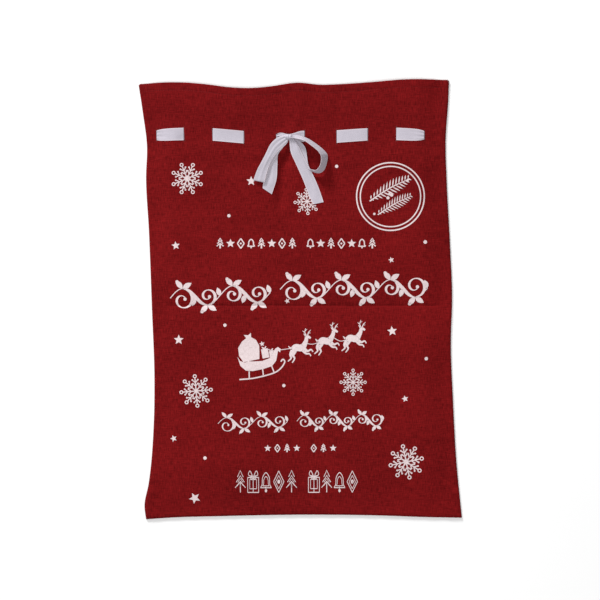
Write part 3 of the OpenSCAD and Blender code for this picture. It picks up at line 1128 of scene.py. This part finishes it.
ribbon_left = left_edge(neck) + TURN_BACK
ribbon_right = right_edge(neck) - TURN_BACK
left_stops = ribbon_stops(ribbon_left, knot[0] + 1)
right_stops = ribbon_stops(knot[0] - 1, ribbon_right)
left_run = ribbon_sheet("front_ribbon_from_left", left_stops, front_run(1))
right_run = ribbon_sheet("front_ribbon_from_right", right_stops, front_run(-1))
finish_piece(left_run, ribbon_white, with_mouth, ["front_ribbon_left"])
finish_piece(right_run, ribbon_white, with_mouth, ["front_ribbon_right"])
back_ribbon = ribbon_sheet("back_ribbon_run", ribbon_stops(ribbon_left, ribbon_right), back_run)
finish_piece(back_ribbon, ribbon_white, "upper_half", ["back_ribbon"])

# %% [markdown]
# ## The bow
#
# Each loop and tail is a strip between two rails, one for each edge of the ribbon. A rail is a
# smooth curve through a few points: across and along from the knot, then the height above the cloth.
# This is how a ribbon behaves: it bends and twists easily, but its width stays. The left loop lies
# flattened on its tail, and the right loop stands open on its edge.

# %% Bow strips
BOW_BASE = 10.1  # the rails' heights count from here, about the height of the cloth there
REST = 0.5  # the ribbon's middle is at least this far above the cloth
STRIP_ROWS = 72


def bow_strip(name, first, second, pleats, crown, ridge=None):
    """A ribbon between two rails.

    pleats is the depth of the folds where it leaves the knot, crown the rise of its middle, and ridge
    the place across and the height of a soft lengthwise fold.
    """
    def place(v, t):
        a, b = curve(first, t), curve(second, t)
        x, y, high = a + (b - a) * (v + 1) / 2
        tight = np.exp(-t * len(first) / 1.6)
        high = high + pleats * tight * np.cos(v * 9.5) + crown * (1 - v * v) * step(t * 4)
        high = high + 0.18 * np.sin(t * 23 + 2 * v) * step(t * 3)
        if ridge:
            top = ridge[1] * np.exp(-(((v - ridge[0]) / 0.22) ** 2))
            high = high + top * step(t * 6) * step((1 - t) * 3)
        x, y = x + knot[0], y + knot[1]
        return x, y, np.maximum(BOW_BASE + high, front_top(x, y) + REST)

    return ribbon_sheet(name, spaced(0, 1, 1 / STRIP_ROWS), place)


# %% Rails
# each point is across and along from the knot, and the height
left_tail_rails = (
    [(-6, -2, 2.4), (-15, -10, 1.6), (-27, -23, 0.9), (-36, -42, 0.7), (-39.5, -62.5, 0.7),
     (-41.5, -82.2, 0.7)],
    [(-3, -5, 2.4), (-9, -17, 1.6), (-16.8, -28, 1.3), (-17.9, -46, 1.6), (-19.4, -68, 1.1),
     (-26.8, -92, 0.7)],
)
left_loop_rails = (
    [(-1, 2.5, 5.4), (-10, 1.6, 6.0), (-19.3, -2.3, 6.4), (-29, -11.9, 6.8), (-37, -28, 6.8),
     (-44.2, -41.7, 6.4), (-49.9, -52.1, 6.0), (-55.3, -66.5, 5.2), (-56.4, -69.2, 4.1),
     (-54.8, -67.6, 3.1), (-46, -50, 2.7), (-34, -27, 2.9), (-18, -9, 3.0), (-3, -1, 3.0)],
    [(0, -3, 5.2), (-1.6, -9, 5.0), (-7.5, -15.5, 5.0), (-16.6, -23.5, 5.2), (-24, -33, 5.4),
     (-29.6, -43, 5.4), (-34.4, -56, 5.1), (-38.2, -70.4, 4.6), (-39, -73, 3.7),
     (-37.6, -70.8, 2.9), (-31, -52, 2.6), (-20, -33, 2.7), (-9, -15, 2.8), (-1, -4, 3.0)],
)
right_tail_rails = (
    [(0.5, -2, 4.6), (1.8, -9, 4.2), (3.9, -24.8, 3.0), (11.3, -41.7, 2.3), (23.2, -68, 1.3),
     (33, -94, 0.8), (40.7, -108, 0.8)],
    [(7, 0.5, 4.8), (13.5, -9, 5.0), (19.5, -21, 4.4), (27.5, -38, 3.2), (38, -57.5, 1.4),
     (48, -80, 0.8), (56.6, -104.5, 0.8)],
)
right_loop_rails = (
    [(2, 1.5, 3.0), (14, 3, 2.2), (26, 0, 1.2), (37, -5.5, 0.7), (50, -14.8, 0.6),
     (57.5, -21.5, 0.6), (62.9, -29.5, 0.6), (61.5, -42.5, 0.6), (57.4, -52.6, 0.6),
     (51, -57.6, 0.6), (43, -57.2, 0.7), (36.4, -53.4, 0.8), (31.5, -43, 1.0), (29.6, -30, 1.4),
     (27, -17, 1.8), (19, -7.5, 2.4), (5, -1.5, 3.0)],
    [(3, -2, 9.0), (14.5, -3.5, 12), (25.5, -6.8, 14.5), (33.5, -12.5, 16.5), (43.5, -20.3, 17.5),
     (48.8, -25.6, 18), (52.2, -32.5, 18.2), (51.6, -43.4, 18), (47.9, -51, 16.5),
     (43.8, -54, 13.5), (39, -53.2, 8.5), (31, -50, 3.2), (19, -38, 1.2), (13.5, -26, 1.2),
     (9.5, -14, 1.6), (6, -7, 2.2), (2, -4, 3.0)],
)
# %% Loops and tails
bow = {
    "left_tail": bow_strip("left_tail_ribbon", *left_tail_rails, 0.8, 0.7, ridge=(0.35, 0.5)),
    "left_loop": bow_strip("left_loop_ribbon", *left_loop_rails, 0.8, 0.25, ridge=(0.1, 0.45)),
    "right_tail": bow_strip("right_tail_ribbon", *right_tail_rails, 0.9, 0.4, ridge=(0.45, 0.9)),
    "right_loop": bow_strip("right_loop_ribbon", *right_loop_rails, 1.0, 0.0),
}
for body, parent in (
    ("left_tail", "mouth_front"), ("left_loop", "left_tail"),
    ("right_loop", "mouth_front"), ("right_tail", "right_loop"),
):
    finish_piece(bow[body], ribbon_white, from_knot(), [body])


# %% [markdown]
# ## The knot
#
# The knot is the ribbon wrapped once round itself and pulled tight, so it is a short barrel whose
# folds run round it on a slant. It is a grid rolled into a tube: the folds are a cosine along the
# barrel that drifts as it goes round, and the ends are drawn in to close on the ribbon.

# %% Knot
KNOT_R = 4.3
KNOT_HALF = 5.6


def knot_place(turn, along):
    angle = 2 * math.pi * turn
    folds = 0.34 * np.cos(along * 9.2 + 1.3 * np.sin(angle)) + 0.12 * np.sin(3 * angle + along * 4)
    radius = KNOT_R * (1 - 0.45 * abs(along) ** 3) + folds
    x = knot[0] + KNOT_HALF * along * (1 + 0.06 * np.cos(angle))
    return x, knot[1] + radius * np.cos(angle), knot[2] - 0.1 + radius * 0.95 * np.sin(angle)


bow_knot = new_sheet("knot_wrap", np.linspace(0, 1, 49), np.linspace(-1, 1, 33), knot_place)
close_tube(bow_knot, draw_in=(1, 0.45, 0.45))
finish_piece(bow_knot, ribbon_white, "mouth_front", ["bow_knot"])

# %% [markdown]
# ## The printing
#
# The front is screen printed, and a print is a thin film of ink that follows the cloth. A picture
# mapped on the cloth would blur when seen close, so each motif is modelled flat, as a printer cuts a
# stencil, from circles, strokes and outlines. Then it is cut into small pieces, laid on the cloth's
# height, and given the thickness of the ink. Words are left out: rows of winter motifs and curling
# garlands of the same weight take their places.

# %% Discs, stars and rings
def moved(shape, x, y, turn=0.0, size=1.0):
    """Turns, scales and moves a flat shape's own mesh."""
    co = points_of(shape) / MM
    c, s = math.cos(turn) * size, math.sin(turn) * size
    set_points(shape, co[:, 0] * c - co[:, 1] * s + x, co[:, 0] * s + co[:, 1] * c + y, 0)
    return shape


def circle(radius, corners, fill):
    return primitive(
        bpy.ops.mesh.primitive_circle_add, vertices=corners, radius=radius * MM, fill_type=fill)


def flat_disc(x, y, radius, corners=16):
    return moved(circle(radius, corners, "NGON"), x, y)


def flat_outline(corners):
    """A filled shape: the corners of a circle are moved to the outline's corners."""
    shape = circle(1, len(corners), "NGON")
    x, y = np.array(corners, float).T
    set_points(shape, x, y, 0)
    return shape


def flat_star(x, y, radius, points=5, waist=0.45, turn=0.0):
    angles = np.arange(2 * points) * math.pi / points + math.pi / 2 + turn
    reach = np.where(np.arange(2 * points) % 2 == 0, radius, radius * waist)
    return flat_outline(np.column_stack([reach * np.cos(angles) + x, reach * np.sin(angles) + y]))


def flat_ring(x, y, radius, width, corners):
    """A circle's edge, extruded and drawn in."""
    ring = circle(radius, corners, "NOTHING")
    shrink = 1 - width / radius
    start_edit(ring, "EDGE")
    bpy.ops.mesh.extrude_region_move()
    bpy.ops.transform.resize(value=(shrink, shrink, 1), center_override=(0, 0, 0))
    end_edit()
    return moved(ring, x, y)


# %% Strokes and leaves
def flat_stroke(points, widths, steps=None):
    """A brush stroke through points. widths is its width at even steps, or one width for all of it."""
    steps = steps or 6 * (len(points) - 1)
    widths = np.atleast_1d(widths)
    stations = np.linspace(0, 1, 101)
    wide = np.interp(stations, np.linspace(0, 1, len(widths)), widths)

    def place(side, t):
        x, y = curve(points, t)
        dx, dy = curve(points, t + 0.01) - curve(points, t - 0.01)
        far = np.hypot(dx, dy) + 1e-9
        half = side * np.interp(t, stations, wide) / 2
        return x - dy / far * half, y + dx / far * half, 0

    return new_sheet("stroke", [-1, 1], np.linspace(0, 1, steps + 1), place)


def leaf(x, y, length, width, angle):
    tip = (x + length * math.cos(angle), y + length * math.sin(angle))
    middle = ((x + tip[0]) / 2, (y + tip[1]) / 2)
    return flat_stroke([(x, y), middle, tip], [0.15, 0.8 * width, width, 0.7 * width, 0.15], 8)


# %% Joining and copying
def joined(name, shapes):
    bpy.ops.object.select_all(action="DESELECT")
    for shape in shapes:
        shape.select_set(True)
    bpy.context.view_layer.objects.active = shapes[0]
    bpy.ops.object.join()
    whole = bpy.context.object
    whole.name = whole.data.name = name
    return whole


def copy_of(shape):
    twin = shape.copy()
    twin.data = shape.data.copy()
    bpy.context.scene.collection.objects.link(twin)
    return twin


# %% Printing on the cloth
INK_LIFT = 0.2
INK_T = 0.1
CUT = 4.5  # the size of the small pieces
prints = {"above": [], "below": []}


def cut_at(axis, places, keep=None):
    """Bisects the edited mesh at each place. keep is "below" or "above" if one side is thrown away."""
    for place in places:
        bpy.ops.mesh.select_all(action="SELECT")
        bpy.ops.mesh.bisect(
            plane_co=[place * MM * a for a in axis], plane_no=axis,
            clear_outer=keep == "below", clear_inner=keep == "above")


def print_on_cloth(name, shapes, half):
    """Lays flat shapes on the cloth on one side of the crease: half is "below" or "above"."""
    film = joined(name, shapes)
    set_x, set_y, _ = points_of(film).T / MM
    low, high = set_y.min(), set_y.max()
    start_edit(film, "FACE")
    if low < crease < high:
        cut_at((0, 1, 0), [crease], keep=half)
    cut_at((1, 0, 0), np.arange(math.ceil(set_x.min() / CUT) * CUT, set_x.max(), CUT))
    cut_at((0, 1, 0), np.arange(math.ceil(low / CUT) * CUT, high, CUT))
    near_crease = [crease + side * gap for gap in CREASE_STEPS[1:] for side in (-1, 1)]
    cut_at((0, 1, 0), [y for y in near_crease if low < y < high])
    bpy.ops.mesh.select_all(action="SELECT")
    bpy.ops.mesh.quads_convert_to_tris()
    end_edit()
    choose_faces(film, face_values(film, "normal")[:, 2] < 0)
    bpy.ops.mesh.flip_normals()
    end_edit()
    x, y, _ = points_of(film).T / MM
    set_points(film, x, y, front_top(x, y) + INK_LIFT)
    set_uv(film, x, y)
    thicken(film, INK_T, 1)
    prints[half].append(finish_piece(film, ink, over_crease if half == "below" else with_mouth))


# %% [markdown]
# ### Snowflakes, stars and dots
#
# A snowflake is one arm, copied eight times round its centre. The arm is a stem with two pairs of
# twigs and a small ring at its tip.

# %% Snowflakes
def snow_arm(reach):
    r = reach / 16
    shapes = [
        flat_stroke([(1.5 * r, 0), (7 * r, 0), (12.4 * r, 0)], [1.1 * r, r, r], 4),
        flat_ring(14 * r, 0, 1.9 * r, 0.95 * r, 14),
    ]
    for side in (-1, 1):
        for start, length in ((4.6, 3.2), (7.9, 3.6)):
            tip = (start * r + length * r * 0.75, side * length * r * 0.72)
            shapes.append(flat_stroke([(start * r, 0), tip], [0.9 * r, r], 2))
            shapes.append(flat_disc(*tip, 0.85 * r, 8))
    return joined("arm", shapes)


def snowflake(x, y, reach, turn):
    """A flake of eight arms, turned by turn degrees, as a list of flat shapes."""
    arm = snow_arm(reach)
    shapes = [flat_star(x, y, 3.4 * reach / 16, 8, 0.55)]
    for i in range(8):
        shapes.append(moved(copy_of(arm), x, y, math.radians(turn + 45 * i)))
    bpy.data.objects.remove(arm)
    return shapes


upper_flakes = [(-181.5, 195.5, 27, 22.5), (11.3, 158.5, 22, 4)]
lower_flakes = [(-167.2, -146.4, 27.2, 5), (85.4, -132.3, 22, 0), (170.9, -260.5, 29.2, 12)]
for word, half, flakes in (("upper", "above", upper_flakes), ("lower", "below", lower_flakes)):
    print_on_cloth(f"printed_snowflakes_{word}", sum((snowflake(*f) for f in flakes), []), half)

# %% Stars and dots
upper_stars = [(-78.5, 191.3, 8), (-199.8, 87.5, 7), (146.7, 64.5, 5), (-20.6, -1.5, 4.6)]
lower_stars = [
    (-195, -64, 8.2), (148.2, -50, 8.2), (169.1, -159, 5.6), (-203.4, -223, 5.6), (-169.7, -319.3, 9.4),
]
upper_dots = [(59, 215.3, 2.7), (-114.4, 135.6, 2.7), (201.5, 93.3, 3)]
lower_dots = [(-120.8, -40.5, 2.7), (-26, -137.7, 2.7), (203.2, -94.4, 2.8), (-152.8, -254.2, 2.8)]
for word, half, stars, dots in (
    ("upper", "above", upper_stars, upper_dots), ("lower", "below", lower_stars, lower_dots),
):
    shapes = [flat_star(x, y, r, turn=0.12 * i) for i, (x, y, r) in enumerate(stars)]
    shapes += [flat_disc(*dot) for dot in dots]
    print_on_cloth(f"printed_stars_{word}", shapes, half)


# %% [markdown]
# ### Rows of small motifs
#
# In place of a line of capitals, a row of small winter motifs stands at the same height and spacing:
# firs, stars, diamonds, bells and parcels, each built from the same strokes and outlines. Each takes
# the place of its middle, its height and the width of its line.

# %% Small motifs
def fir(x, y, h, line):
    shapes = []
    for base, wide in ((-0.28, 0.34), (-0.02, 0.27), (0.22, 0.19)):
        foot, peak = y + base * h, y + (base + 0.3) * h
        shapes.append(flat_stroke([(x - wide * h, foot), (x, peak), (x + wide * h, foot)], line, 2))
    return shapes + [flat_stroke([(x, y - 0.5 * h), (x, y - 0.05 * h)], line * 1.3, 1)]


def diamond(x, y, h, line):
    w = 0.34 * h
    corners = [(x - w, y), (x, y + h / 2), (x + w, y), (x, y - h / 2), (x - w, y)]
    sides = [flat_stroke([a, b], line, 1) for a, b in zip(corners, corners[1:])]
    return sides + [flat_disc(x, y, 0.1 * h, 8)]


def bell(x, y, h, line):
    w = 0.36 * h
    half = [(1, -0.28), (0.7, -0.12), (0.6, 0.2)]
    dome = [(x - a * w, y + b * h) for a, b in half] + [(x, y + 0.42 * h)]
    dome += [(x + a * w, y + b * h) for a, b in reversed(half)]
    return [
        flat_stroke(dome, line), flat_stroke([dome[0], dome[-1]], line, 2),
        flat_disc(x, y - 0.42 * h, 0.08 * h, 8),
    ]


def parcel(x, y, h, line):
    w, low, lid = 0.36 * h, y - 0.5 * h, y + 0.2 * h
    box = [(x - w, low), (x - w, lid), (x + w, lid), (x + w, low), (x - w, low)]
    shapes = [flat_stroke([a, b], line, 2) for a, b in zip(box, box[1:])]
    shapes.append(flat_stroke([(x, low), (x, lid)], line, 2))
    for side in (-1, 1):
        ear = [(x + side * 0.3 * h, lid + 0.12 * h), (x + side * 0.2 * h, lid + 0.3 * h)]
        shapes.append(flat_stroke([(x, lid), *ear, (x, lid)], line))
    return shapes


def small_star(x, y, h, line):
    return [flat_star(x, y, h * 0.46)]


# %% Rows of motifs
def motif_row(kinds, x, y, pitch, h, line):
    """Motifs side by side from x, with a space for the gap between two groups."""
    shapes = []
    for kind in kinds:
        if kind != " ":
            shapes += MOTIFS[kind](x, y, h, line)
        x += pitch * 0.75 if kind == " " else pitch
    return shapes


NARROW = 0.7  # how wide a tall motif is drawn, against its own width


def tall(kind):
    """The same motif drawn narrow, with a second thin line inside."""
    def draw(x, y, h, line):
        shapes = kind(0, 0, h, line) + kind(0, -0.02 * h, h * 0.62, line * 0.8)
        for shape in shapes:
            co = points_of(shape) / MM
            set_points(shape, co[:, 0] * NARROW + x, co[:, 1] + y, 0)
        return shapes
    return draw


MOTIFS = {"f": fir, "s": small_star, "d": diamond, "b": bell, "p": parcel}
MOTIFS |= {key.upper(): tall(kind) for key, kind in MOTIFS.items()}
# a letter for each motif, a capital for a tall one: left end, height on the sack, pitch, size, line
for word, half, kinds, place in (
    ("upper", "above", "fsdbfsdf bsfdsbf", (-128.5, 91, 16.6, 16, 1.9)),
    ("middle", "below", "sdfs dfs", (-52, -238.5, 15.6, 12.5, 1.7)),
    ("lower", "below", "FPBDF PFBD", (-96, -292.5, 20.6, 35, 1.5)),
):
    print_on_cloth(f"printed_motif_row_{word}", motif_row(kinds, *place), half)


# %% [markdown]
# ### Garlands
#
# A garland takes the place of a line of script. Its stem waves and swells like a pen stroke, and at
# each crest a tendril curls off with a berry at its end and a pair of leaves at its foot.

# %% Garlands
def tendril(x, y, radius, side, weight):
    """A curl of one and a fifth turns that starts at x, y and winds in to a berry."""
    turns = np.linspace(0, 2.4 * math.pi, 15)
    shrink = radius * (1 - turns / turns[-1] * 0.78)
    xs = x + shrink * np.sin(turns)
    ys = y + side * radius - side * shrink * np.cos(turns)
    pen = weight * (0.3 + 0.7 * abs(np.sin(turns)) ** 1.5) * (1 - 0.45 * turns / turns[-1])
    return [flat_stroke(list(zip(xs, ys)), pen, 40), flat_disc(xs[-1], ys[-1], weight * 0.5, 10)]


def garland(x0, y0, x1, y1, tall, waves, weight):
    """A stem from x0, y0 to x1, y1 with its tendrils. tall is the height of the whole line."""
    stations = np.linspace(0, 1, 8 * waves + 1)
    rise = 0.22 * tall * np.sin(2 * math.pi * waves * stations)
    xs, ys = x0 + (x1 - x0) * stations, y0 + (y1 - y0) * stations + rise
    pen = weight * (0.28 + 0.8 * np.maximum(-np.cos(2 * math.pi * waves * stations), 0) ** 0.8)
    shapes = [flat_stroke(list(zip(xs, ys)), pen, 24 * waves)]
    half_wave = (x1 - x0) / waves / 2
    for i in range(2 * waves):
        side = 1 if i % 2 else -1
        t = (i + 0.5) / (2 * waves)
        x, stem_y = x0 + (x1 - x0) * t, y0 + (y1 - y0) * t
        y = stem_y - side * 0.22 * tall
        shapes += tendril(x, y, half_wave * (0.36 if i % 5 else 0.46), side, weight)
        for at, length, width, angle in (
            ((x, y), 0.42, 1.6, -side * 0.55), ((x, y), 0.42, 1.6, -side * 2.3),
            ((x + half_wave * 0.5, stem_y), 0.36, 1.5, side * 1.9),
        ):
            shapes.append(leaf(*at, half_wave * length, weight * width, angle))
        shapes.append(flat_disc(x - half_wave * 0.22, y - side * tall * 0.16, weight * 0.5, 10))
    return shapes


def big_garland():
    return garland(-209, 3, -48, 12, 66, 2, 5.4) + garland(-32, 17, 205, 19, 66, 3, 5.4)


print_on_cloth("printed_garland_above_crease", big_garland(), "above")
print_on_cloth("printed_garland_below_crease", big_garland(), "below")
lower_garland = garland(-132, -199, -20, -195, 42, 2, 3.3) + garland(-5, -195, 134, -193, 42, 3, 3.3)
print_on_cloth("printed_garland_lower", lower_garland, "below")


# %% [markdown]
# ### The stamp
#
# Two thin rings with two fir sprigs and a few berries inside, tilted like a stamp put on by hand.

# %% Stamp
STAMP = (145.6, 166.5)


def sprig(length, twigs, weight):
    """A fir twig along +X, with needles on both sides."""
    stem = [(-length / 2, -2), (0, 1), (length / 2, -1)]
    shapes = [flat_stroke(stem, [weight, weight, weight * 0.5], 10)]
    for i in range(twigs):
        x = -length / 2 + length * (i + 0.6) / twigs
        reach = length * 0.15 * math.sin(math.pi * (i + 1) / (twigs + 1)) + 3.5
        for side in (-1, 1):
            shapes.append(leaf(x, 0.5, reach, weight * 1.1, side * 0.95))
    return shapes


stamp = [flat_ring(*STAMP, 55.6, 2.2, 96), flat_ring(*STAMP, 49.6, 2.0, 96)]
branch = joined("branch", sprig(74, 13, 2.0))
stamp.append(moved(copy_of(branch), STAMP[0] - 2, STAMP[1] + 12, 0.5))
stamp.append(moved(branch, STAMP[0] + 6, STAMP[1] - 13, 0.5, 0.84))
for dx, dy, r in ((-4, -2, 2.6), (2, 2.5, 2.6), (-1.5, 4.5, 2.0), (28, 27, 2), (-26, -28, 2)):
    stamp.append(flat_disc(STAMP[0] + dx, STAMP[1] + dy, r, 12))
print_on_cloth("printed_stamp", stamp, "above")


# %% [markdown]
# ### Sleigh and deer
#
# A sleigh with a tied sack and two parcels in it, drawn by three leaping deer. The deer is one
# drawing made of tapering strokes, made again at each place in the team: x, y, size and turn.

# %% Deer
# the points of each stroke, and its widths
DEER = [
    ([(-11, -1), (-4, 1.5), (3, 0.5), (9, 2.5)], [7, 10.5, 9, 10, 7]),
    ([(7, 2), (12, 9), (13.5, 14.5)], [8, 5.4, 4.4]),
    ([(12.2, 14.2), (16, 14.4), (20, 12.4)], [5, 4.2, 2.4]),
    ([(12.5, 16), (9.5, 19.5)], [2.4, 0.6]),
    ([(13.8, 16), (11.5, 21), (13.4, 26.5)], [1.5, 1.4, 0.7]),
    ([(11.8, 20), (8.2, 23.6)], [1.3, 0.6]),
    ([(12.2, 23), (15.6, 25)], [1.2, 0.6]),
    ([(15.2, 16), (17.4, 20.4), (21, 23.6)], [1.5, 1.4, 0.7]),
    ([(17.2, 20), (20.6, 19.4)], [1.2, 0.6]),
    ([(7.5, -1), (13, -4.6), (18.6, -3), (21.4, -6.4)], [5, 3, 2, 1.5]),
    ([(5, -2), (10, -7.6), (15.4, -8.6), (17.4, -12)], [4.6, 2.8, 1.9, 1.5]),
    ([(-10, -2), (-14.5, -7), (-14, -12), (-19.5, -16)], [6.6, 3.6, 2.2, 1.5]),
    ([(-7.5, -3), (-10.5, -8.6), (-8.6, -13), (-13, -18.4)], [6, 3.4, 2.1, 1.5]),
    ([(-13, 1), (-16.5, 4.6)], [3, 0.7]),
]
DEER_TALL = 1.16
DEER_STOUT = 1.15


def deer(x, y, size, turn):
    strokes = [
        flat_stroke([(a, DEER_TALL * b) for a, b in points], [DEER_STOUT * w for w in widths])
        for points, widths in DEER
    ]
    return moved(joined("deer", strokes), x, y, turn, size)


team = [(-1.5, -78, 1.02, 0.1), (41.5, -67, 1.0, 0.06), (85.5, -63, 0.98, 0.03)]
drawn = [deer(*one) for one in team]
for line in (
    [(-54, -79), (-44, -81.5), (-30, -80), (-8, -77)],
    [(10, -70), (21, -71), (33, -67)],
    [(53, -60), (65, -66), (77, -63)],
):
    drawn.append(flat_stroke(line, 1.1))
print_on_cloth("printed_deer", drawn, "below")

# %% Sleigh
SLEIGH = (-66, -92)  # the point that the sleigh tilts about
SLEIGH_TILT = 0.2
hull = [
    (-100, -84), (-97, -92), (-90, -96), (-84, -95), (-76, -97), (-62, -99), (-50, -97), (-43, -90),
    (-38, -84), (-33, -82), (-29, -86), (-31, -91), (-34, -88), (-36, -93), (-40, -103), (-48, -110),
    (-62, -112), (-80, -112), (-91, -109), (-98, -100),
]
heap = [
    (-92, -95), (-97, -84), (-96, -71), (-88, -62), (-80, -58), (-83, -52), (-76, -54), (-71, -51),
    (-72, -58), (-65, -64), (-62, -74), (-64, -86), (-66, -95),
]
runner = [(-104, -121), (-80, -123.5), (-50, -122), (-36, -117), (-27, -108), (-29, -103), (-33, -106)]
posts = ([(-86, -111), (-88, -122)], [(-64, -111), (-65, -123)], [(-49, -109), (-47, -121)])
sleigh = [flat_outline(hull), flat_outline(heap), flat_stroke(runner, 2.2)]
sleigh += [flat_stroke(post, 2, 2) for post in posts]
for x, y, w, h in ((-55, -88, 11, 15), (-45, -91, 7, 10)):
    left, right, low, lid = x - w / 2, x + w / 2, y - h / 2, y + h / 2
    sleigh.append(flat_outline([(left, low), (right, low), (right, lid), (left, lid)]))
    for side in (-1, 1):
        sleigh.append(leaf(x, lid, 5.5, 2.4, math.pi / 2 + side * 0.8))
sleigh.append(flat_star(-57, -72, 4.6))
sleigh = [moved(shape, -SLEIGH[0], -SLEIGH[1]) for shape in sleigh]
sleigh = [moved(shape, *SLEIGH, SLEIGH_TILT) for shape in sleigh]
print_on_cloth("printed_sleigh", sleigh, "below")
